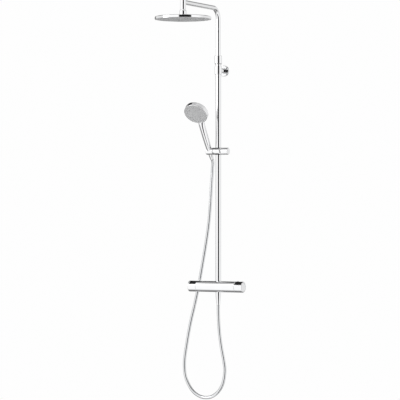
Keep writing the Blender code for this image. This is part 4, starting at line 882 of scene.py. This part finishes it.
def make_head():
    place, nut, low, high = upright("ball_nut")
    cup = 0.0108
    boss = 0.0124
    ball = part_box("ball_stem")[0].z + 0.0085
    turned(
        "ball_nut",
        [
            (cup, ball),
            (0.0090, ball + 0.0060),
            (0.0078, high),
            (nut, high, 0.0034),
            (nut, low, 0.0005),
            (boss + FIT, low),
            (boss + FIT, ball),
        ],
        place,
    )
    place, radius, low, high = upright("head_shell")
    wall = 0.0022
    waterway = 0.005
    filter_seat = 0.0056
    dome = 0.0008
    shell_top = low + 0.0125
    ceiling = shell_top - wall
    turned(
        "head_shell",
        [
            (waterway, ceiling),
            (waterway, high - 0.0113),
            (filter_seat, high - 0.0113),
            (filter_seat, high - 0.0090),
            (0.0095, high - 0.0045),
            (0.0106, high),
            (boss, high, 0.0004),
            (boss, shell_top + dome / 2),
            (boss + 0.004, shell_top + dome / 4),
            (radius * 0.5, shell_top),
            (radius, shell_top - dome, 0.0034),
            (radius, low, 0.0010),
            (radius - wall, low),
            (radius - wall, ceiling - 0.0006),
        ],
        place,
        DISC,
    )
    _, plate, low, high = upright("head_spray_plate")
    turned("head_spray_plate", rod(plate, low, high, 0.0005), place, DISC)

    _, mat_radius, mat_low, mat_high = upright("head_nozzle_mat")
    shape = turned_shape(drum(mat_radius, mat_low, mat_high))
    spots = [(0.0, 0.0)]
    for ring in range(1, HEAD_NOZZLE_RINGS + 1):
        spots += ring_spots(ring * HEAD_NOZZLE_STEP, 6 * ring, 0.15 * ring)
    nozzles(shape, spots, -1, low + NOZZLE_ROOT, low - NOZZLE_PROUD)
    mat = mesh_piece("head_nozzle_mat_finished", shape, "silicone", place)
    stand_for(mat, "head_nozzle_mat")


# ---------------------------------------------------------------- slider and holder
def oval_loft(name, sections, finish, where, sides=FINE, steps=8):
    """A closed skin through ovals (height, half width, half depth, shift), smooth between them."""
    table = [sections[0], *sections, sections[-1]]
    stations = []
    for four in zip(table, table[1:], table[2:], table[3:]):
        for i in range(steps):
            stations.append([between(*values, i / steps) for values in zip(*four)])
    stations.append(sections[-1])
    shape = bmesh.new()
    rings = []
    for height, half_width, half_depth, shift in stations:
        ring = ring_spots(1.0, sides)
        rings.append(
            [shape.verts.new((half_width * a, shift + half_depth * b, height)) for a, b in ring]
        )
    wrap(shape, rings)
    return mesh_piece(name, shape, finish, where)


def make_slider():
    low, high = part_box("slider_body")
    middle = Matrix.Translation((0, (low.y + high.y) / 2, (low.z + high.z) / 2))
    half_height = (high.z - low.z) / 2
    half_depth = (high.y - low.y) / 2
    liner_place, liner, liner_low, liner_high = upright("slider_liner")
    riser_radius = upright("riser_pipe")[1]
    body = oval_loft(
        "slider_body_finished",
        [
            (low.x, half_height - 0.0010, half_height - 0.0010, 0),
            (low.x + 0.0003, half_height - 0.0004, half_height - 0.0004, 0),
            (low.x + 0.0010, half_height, half_height + 0.0001, 0),
            (low.x * 0.62, half_height, half_depth * 0.985, 0),
            (0.0, half_height, half_depth, 0),
            (high.x * 0.72, half_height, half_depth * 0.985, 0),
            (high.x - 0.0010, half_height, half_height + 0.0011, 0),
            (high.x - 0.0003, half_height - 0.0004, half_height + 0.0006, 0),
            (high.x, half_height - 0.0010, half_height, 0),
        ],
        "chrome",
        middle @ ALONG_X,
    )
    screw = 0.004
    pin = 0.005
    pin_depth = 0.0078
    reach = half_height + OVERSHOOT
    along_x = middle @ ALONG_X
    for name, outline, place, sides in (
        ("slider_riser_hole", drum(liner + SLIDING_FIT, -reach, reach), middle, FINE),
        (
            "slider_pin_hole",
            drum(pin + FIT + 0.0001, low.x - OVERSHOOT, low.x + pin_depth),
            along_x,
            SMALL,
        ),
        (
            "slider_screw_hole",
            drum(screw + FIT, riser_radius, high.x + OVERSHOOT),
            along_x,
            SMALL,
        ),
    ):
        cut(body, cutter(name, outline, place, sides))
    body.data.set_sharp_from_angle(angle=SHARP_ANGLE)
    stand_for(body, "slider_body")
    liner_outline = tube(liner, riser_radius + SLIDING_FIT, liner_low, liner_high, 0.0003)
    turned("slider_liner", liner_outline, liner_place)

    place, radius, start, end = level("slider_knob")
    screw_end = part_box("slider_clamp_screw")[1].x
    crown = 0.0002
    turned(
        "slider_knob",
        [
            (screw + FIT, start),
            (radius, start, 0.0008),
            (radius, end, 0.0022),
            (radius * 0.55, end + crown),
            (0, end + crown),
            (0, screw_end + FIT),
            (screw + FIT, screw_end + FIT),
        ],
        place,
    )

    place, radius, left, right = level("holder_cup")
    washer_place, washer, washer_left, washer_right = level("holder_friction_washer")
    reach = radius + 0.006
    half_slot = 0.00775
    taper = (CONE_TOP_RADIUS - CONE_END_RADIUS) / CONE_LENGTH
    wide, narrow = [CONE_TOP_RADIUS - (CONE_TOP - at) * taper + FIT for at in (reach, -reach)]
    cone = [(0, -reach), (narrow, -reach), (wide, reach), (0, reach)]
    cup = cut_piece(
        "holder_cup_finished",
        [
            (0, left),
            (radius, left, 0.0020),
            (radius, right, 0.0006),
            (washer + FIT, right),
            (washer + FIT, washer_left - FIT),
            (pin + FIT, washer_left - FIT),
            (pin + FIT, PIVOT.x),
            (0, PIVOT.x),
        ],
        "chrome",
        place,
        [
            cutter("holder_cone", cone, HANDSET, FINE),
            box_cutter("holder_slot", (-reach, -half_slot, -reach), (0, half_slot, reach), HANDSET),
        ],
    )
    stand_for(cup, "holder_cup")
    washer_outline = tube(washer, pin + FIT, washer_left, washer_right, 0.0002)
    turned("holder_friction_washer", washer_outline, washer_place)


# ---------------------------------------------------------------- hand shower
HAND_NOZZLE_RADII = (0.0075, 0.0150, 0.0225, 0.0300, 0.0372, 0.0436)
HAND_NOZZLE_COUNTS = (6, 12, 16, 22, 26, 30)
FACE_RING_WIDTH = 0.0022
FACE_RING_DEPTH = 0.0040


def make_hand_shower():
    handle_foot = CONE_TOP + 2 * FIT
    body = oval_loft(
        "handset_body_finished",
        [
            (handle_foot, 0.0108, 0.0108, 0),
            (handle_foot + 0.0004, 0.0114, 0.0114, 0),
            (handle_foot + 0.0014, 0.0118, 0.0118, 0),
            (0.0450, 0.0128, 0.0128, 0),
            (0.1000, 0.0133, 0.0133, 0),
            (0.1400, 0.0138, 0.0122, 0.0010),
            (0.1560, 0.0150, 0.0104, 0.0025),
            (0.1700, 0.0175, 0.0082, 0.0020),
            (0.1860, 0.0200, 0.0068, 0.0),
            (0.2000, 0.0195, 0.0050, -0.0010),
        ],
        "chrome",
        HANDSET,
    )
    ring_low = HAND_HEAD_FRONT - FACE_RING_DEPTH
    seam = ring_low - FIT / 3
    dish = [
        (0, -HAND_HEAD_BACK),
        (HAND_HEAD_RADIUS * 0.39, -HAND_HEAD_BACK * 0.96, 0.03),
        (HAND_HEAD_RADIUS * 0.70, -HAND_HEAD_BACK * 0.81, 0.02),
        (HAND_HEAD_RADIUS * 0.90, -HAND_HEAD_BACK * 0.56, 0.012),
        (HAND_HEAD_RADIUS, -HAND_HEAD_BACK * 0.18, 0.004),
        (HAND_HEAD_RADIUS, seam, 0.0003),
        (0, seam),
    ]
    cut(body, cutter("hand_head_dish", dish, HAND_HEAD, DISC), "UNION")
    seat = HAND_HEAD_RADIUS - FACE_RING_WIDTH
    recess = drum(seat, HAND_FACE_FLOOR, HAND_HEAD_FRONT + OVERSHOOT)
    cut(body, cutter("hand_head_recess", recess, HAND_HEAD, DISC))
    shaft = drum(HANDLE_BORE_RADIUS, handle_foot - OVERSHOOT, handle_foot + HANDLE_BORE_LENGTH)
    cut(body, cutter("handle_bore", shaft, HANDSET))
    body.data.set_sharp_from_angle(angle=SHARP_ANGLE)
    stand_for(body, "handset_body")

    turned(
        "handset_face_ring",
        [
            (seat, ring_low),
            (HAND_HEAD_RADIUS, ring_low, 0.0003),
            (HAND_HEAD_RADIUS, HAND_HEAD_FRONT, 0.0015),
            (seat, HAND_HEAD_FRONT, 0.0004),
        ],
        HAND_HEAD,
        DISC,
    )
    face_high = HAND_HEAD_FRONT - 0.0004
    face_low = face_high - 0.002
    turned(
        "handset_spray_face",
        [
            (0, face_low),
            (seat - FIT, face_low),
            (seat - FIT, face_high, 0.0006),
            (0.0480, face_high - 0.0003),
            (0.0470, face_high - 0.0006),
            (0.0120, face_high - 0.0004),
            (0.0110, face_high),
            (0, face_high),
        ],
        HAND_HEAD,
        DISC,
    )
    mat_high = face_low - FIT
    mat_low = mat_high - 0.0015
    shape = turned_shape(drum(seat - FIT, mat_low, mat_high))
    spots = []
    for radius, count in zip(HAND_NOZZLE_RADII, HAND_NOZZLE_COUNTS):
        spots += ring_spots(radius, count, radius * 40)
    nozzles(shape, spots, 1, face_high - 0.0010, face_high + 0.0010)
    mat = mesh_piece("handset_nozzle_mat_finished", shape, "silicone", HAND_HEAD)
    stand_for(mat, "handset_nozzle_mat")


# ---------------------------------------------------------------- mixer
GRIP_DROP = 0.0032
GRIP_ANGLE = math.radians(35)
BUTTON_ANGLE = math.radians(-24)
BUTTON_RADIUS = 0.0045
BUTTON_HEIGHT = 0.006
BUTTON_PROUD = 0.0018
BUTTON_HOLE_DEPTH = 0.008
HANDLE_WALL = 0.0048
OUTLET_BLOCK_RADIUS = 0.0158
OUTLET_BLOCK_HALF_HEIGHT = 0.0236
OUTLET_BORE_RADIUS = 0.0093
OUTLET_BORE_GAP = 0.003
CARTRIDGE_BORE_RADIUS = 0.0163
CARTRIDGE_BORE_DEPTH = 0.044
INLET_BORE_RADIUS = 0.0078
INLET_BORE_FLOOR = 0.010


def make_mixer():
    low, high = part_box("mixer_body")
    half = high.x
    middle = outwards("flow_handle_cap")[0].translation
    radius = middle.y - low.y
    riser_place, riser_radius, foot, _ = upright("riser_pipe")
    outlets = Matrix.Translation((0, riser_place.translation.y, middle.z))
    beyond = radius + OVERSHOOT
    block = rod(OUTLET_BLOCK_RADIUS, -OUTLET_BLOCK_HALF_HEIGHT, OUTLET_BLOCK_HALF_HEIGHT, 0.0012)
    socket = drum(riser_radius + FIT / 2, foot - middle.z - FIT, beyond)
    outlet = drum(OUTLET_BORE_RADIUS, -beyond, -OUTLET_BORE_GAP)
    tools = [
        (cutter("outlet_block", block, outlets, FINE), "UNION"),
        cutter("riser_socket", socket, outlets, FINE),
        cutter("hose_outlet", outlet, outlets),
    ]
    cartridge = drum(CARTRIDGE_BORE_RADIUS, half - CARTRIDGE_BORE_DEPTH, half + OVERSHOOT)
    port = drum(INLET_BORE_RADIUS, -beyond, -INLET_BORE_FLOOR)
    for word, turn in (("hot", ALONG_BACK_X), ("cold", ALONG_X)):
        tools.append(cutter(f"{word}_cartridge_bore", cartridge, Matrix.Translation(middle) @ turn))
        nut_low, nut_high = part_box(f"{word}_inlet_nut")
        at = Matrix.Translation(((nut_low.x + nut_high.x) / 2, middle.y, middle.z)) @ OUT_FROM_WALL
        tools.append(cutter(f"{word}_inlet_port", port, at))
    body = cut_piece(
        "mixer_body_finished",
        rod(radius, -half, half, 0.0006),
        "chrome",
        Matrix.Translation(middle) @ ALONG_X,
        tools,
        BAR_SIDES,
    )
    stand_for(body, "mixer_body")
    for word in ("flow", "temperature"):
        mixer_handle(word, radius)
    for word in ("hot", "cold"):
        inlet_nut(word)


def mixer_handle(word, radius):
    place, _, start, end = outwards(f"{word}_handle")
    side = 1 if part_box(f"{word}_handle")[0].x > 0 else -1
    inner = radius - HANDLE_WALL
    ledge = inner - 0.0006
    stem = 0.00635
    web_low = start + 0.012
    web_high = start + 0.0207
    grip_end = 0.0035
    middle = place.translation
    turn = Matrix.Translation(middle) @ Matrix.Rotation(GRIP_ANGLE, 4, "X")
    left, right = sorted((side * (start - OVERSHOOT), side * (end - grip_end)))
    grip = box_cutter(
        f"{word}_grip",
        (left, -radius, radius - GRIP_DROP),
        (right, radius, radius + OVERSHOOT),
        turn,
    )
    tools = [grip]
    if word == "temperature":
        button_low, button_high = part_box("temperature_stop_button")
        lie = (
            Matrix.Translation(((button_low.x + button_high.x) / 2, middle.y, middle.z))
            @ Matrix.Rotation(BUTTON_ANGLE, 4, "X")
        )
        hole = drum(BUTTON_RADIUS + FIT, radius - BUTTON_HOLE_DEPTH, radius + OVERSHOOT)
        tools.append(cutter("button_hole", hole, lie))
        top = radius + BUTTON_PROUD
        button = rod(BUTTON_RADIUS, top - BUTTON_HEIGHT, top, 0.0009)
        turned("temperature_stop_button", button, lie, SMALL)
    sleeve = cut_piece(
        f"{word}_handle_finished",
        [
            (inner, start),
            (radius, start, 0.0006),
            (radius, end, 0.0024),
            (ledge, end, 0.0003),
            (ledge, web_high),
            (stem, web_high),
            (stem, web_low),
            (inner, web_low),
        ],
        "chrome",
        place,
        tools,
        BAR_SIDES,
    )
    stand_for(sleeve, f"{word}_handle")
    place, cap, low, high = outwards(f"{word}_handle_cap")
    turned(f"{word}_handle_cap", rod(cap, low, high, 0.0006), place)


def inlet_nut(word):
    """A hexagon nut with its corners turned down to a cone at each end."""
    node = f"{word}_inlet_nut"
    place, corners, back, front = off_wall(node)
    flats = corners * math.cos(math.radians(30)) - 0.0004
    past = corners + 0.0008
    cone_depth = 0.0032
    cone = [
        (0, back),
        (flats, back),
        (past, back + cone_depth),
        (past, front - cone_depth),
        (flats, front),
        (0, front),
    ]
    nipple = 0.0098
    thread = 0.0112
    lip = front - 0.0035
    bore = [
        (0, back - OVERSHOOT),
        (thread, back - OVERSHOOT),
        (thread, lip),
        (nipple, lip),
        (nipple, front + OVERSHOOT),
        (0, front + OVERSHOOT),
    ]
    nut = cut_piece(
        node + "_finished",
        drum(corners, back, front),
        "chrome",
        place,
        [
            (cutter(f"{word}_nut_cone", cone, place, FINE), "INTERSECT"),
            cutter(f"{word}_nut_bore", bore, place),
        ],
        6,
    )
    stand_for(nut, node)


# ---------------------------------------------------------------- light and floor
FLOOR_DROP = 0.55           # below the hose's lowest point
FLOOR_RADIUS = 2.6


def band(nodes, links, value, start, end):
    """0 before start, 1 after end, and smooth between them. Start may be above end."""
    made = nodes.new("ShaderNodeMapRange")
    made.interpolation_type = "SMOOTHSTEP"
    made.inputs["From Min"].default_value = start
    made.inputs["From Max"].default_value = end
    links.new(value, made.inputs["Value"])
    return made.outputs["Result"]


def reckon(nodes, links, operation, one, other=None):
    made = nodes.new("ShaderNodeMath")
    made.operation = operation
    for socket, value in zip(made.inputs, (one, other)):
        if value is None:
            continue
        if isinstance(value, (int, float)):
            socket.default_value = value
        else:
            links.new(value, socket)
    return made.outputs["Value"]


def along(nodes, links, direction, way):
    made = nodes.new("ShaderNodeVectorMath")
    made.operation = "DOT_PRODUCT"
    made.inputs[1].default_value = way
    links.new(direction, made.inputs[0])
    return made.outputs["Value"]


def make_studio():
    """A white tent with a dark gap where it opens towards the viewer, and dim parts behind."""
    world = bpy.data.worlds.new("studio")
    bpy.context.scene.world = world
    world.use_nodes = True
    nodes, links = world.node_tree.nodes, world.node_tree.links
    background = nodes["Background"]
    direction = nodes.new("ShaderNodeTexCoord").outputs["Generated"]
    right = along(nodes, links, direction, TO_RIGHT)
    ahead = along(nodes, links, direction, AHEAD)
    up = along(nodes, links, direction, (0.0, 0.0, 1.0))

    def within(value, start, end):
        return band(nodes, links, value, start, end)

    def times(first, *others):
        made = first
        for other in others:
            made = reckon(nodes, links, "MULTIPLY", made, other)
        return made

    # Angle round the column from the way to the viewer, in degrees, positive to the right.
    turn = times(reckon(nodes, links, "ARCTAN2", right, times(ahead, -1.0)), 180.0 / math.pi)
    aside = reckon(nodes, links, "ABSOLUTE", turn)
    sideways = times(within(turn, -19.0, -15.0), within(turn, 36.0, 32.0))
    gap = times(sideways, within(up, 0.97, 0.90), within(up, -0.96, -0.86), 0.985)
    back = times(within(ahead, 0.76, 0.90), within(right, 0.10, -0.10), 0.80)
    top = times(within(up, 0.25, 0.55), within(ahead, 0.25, 0.40), 0.96)
    low = times(within(up, -0.25, -0.50), within(ahead, -0.10, 0.25), 0.75)
    ceiling = times(within(up, 0.35, 0.95), 0.35)
    sides = times(within(aside, 60.0, 95.0), 0.22)

    shades = (gap, back, top, low, ceiling, sides)
    light = times(*[reckon(nodes, links, "SUBTRACT", 1.0, shade) for shade in shades], 1.05)

    seen = nodes.new("ShaderNodeLightPath").outputs["Is Camera Ray"]
    pick = nodes.new("ShaderNodeMix")
    pick.data_type = "FLOAT"
    links.new(seen, pick.inputs["Factor"])
    links.new(light, pick.inputs["A"])
    pick.inputs["B"].default_value = 0.99
    links.new(pick.outputs["Result"], background.inputs["Strength"])
    background.inputs["Color"].default_value = (1.0, 1.0, 1.0, 1.0)


def make_floor():
    low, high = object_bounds()
    shape = bmesh.new()
    bmesh.ops.create_circle(shape, cap_ends=True, radius=FLOOR_RADIUS, segments=128)
    mesh = bpy.data.meshes.new("floor")
    shape.to_mesh(mesh)
    shape.free()
    floor = bpy.data.objects.new("floor", mesh)
    bpy.context.scene.collection.objects.link(floor)
    floor.location = (0, (low.y + high.y) / 2, low.z - FLOOR_DROP)
    material = bpy.data.materials.new("pale_floor")
    material.use_nodes = True
    nodes, links = material.node_tree.nodes, material.node_tree.links
    principled = nodes["Principled BSDF"]
    principled.inputs["Roughness"].default_value = 0.8
    where = nodes.new("ShaderNodeTexCoord").outputs["Object"]
    mottled = two_tone(
        nodes, links, noise(nodes, links, where, 3.0), (0.86, 0.86, 0.86), (0.90, 0.90, 0.90)
    )
    links.new(mottled, principled.inputs["Base Color"])
    length = nodes.new("ShaderNodeVectorMath")
    length.operation = "LENGTH"
    links.new(where, length.inputs[0])
    fade = band(nodes, links, length.outputs["Value"], FLOOR_RADIUS * 0.35, FLOOR_RADIUS * 0.98)
    clear = nodes.new("ShaderNodeBsdfTransparent")
    mix = nodes.new("ShaderNodeMixShader")
    links.new(fade, mix.inputs["Fac"])
    links.new(principled.outputs["BSDF"], mix.inputs[1])
    links.new(clear.outputs["BSDF"], mix.inputs[2])
    links.new(mix.outputs["Shader"], nodes["Material Output"].inputs["Surface"])
    mesh.materials.append(material)
    floor.visible_glossy = False


def make_light():
    """One large soft lamp above and in front, to the left, which gives the matt faces their shape."""
    lamp = bpy.data.lights.new("soft_box", "AREA")
    lamp.shape = "RECTANGLE"
    lamp.size = 1.6
    lamp.size_y = 2.2
    lamp.energy = 25.0
    holder = bpy.data.objects.new("soft_box", lamp)
    bpy.context.scene.collection.objects.link(holder)
    holder.location = (-2.4, -2.6, 1.0)
    aim = Vector((0, -0.1, -0.5)) - holder.location
    holder.rotation_euler = aim.to_track_quat("-Z", "Y").to_euler()


# ---------------------------------------------------------------- the whole
def finish_kept_nodes():
    """CAD nodes that keep their shape take the finish of their slot."""
    for name, node in frame["nodes"].items():
        node.data.materials.clear()
        node.data.materials.append(FINISHES[slot_of(name)])


finish_kept_nodes()
make_camera()
make_hose(*hose_nuts())
make_bracket()
make_riser()
make_arm()
make_head()
make_slider()
make_hand_shower()
make_mixer()
make_studio()
make_floor()
make_light()
bpy.context.scene.view_settings.view_transform = "Standard"
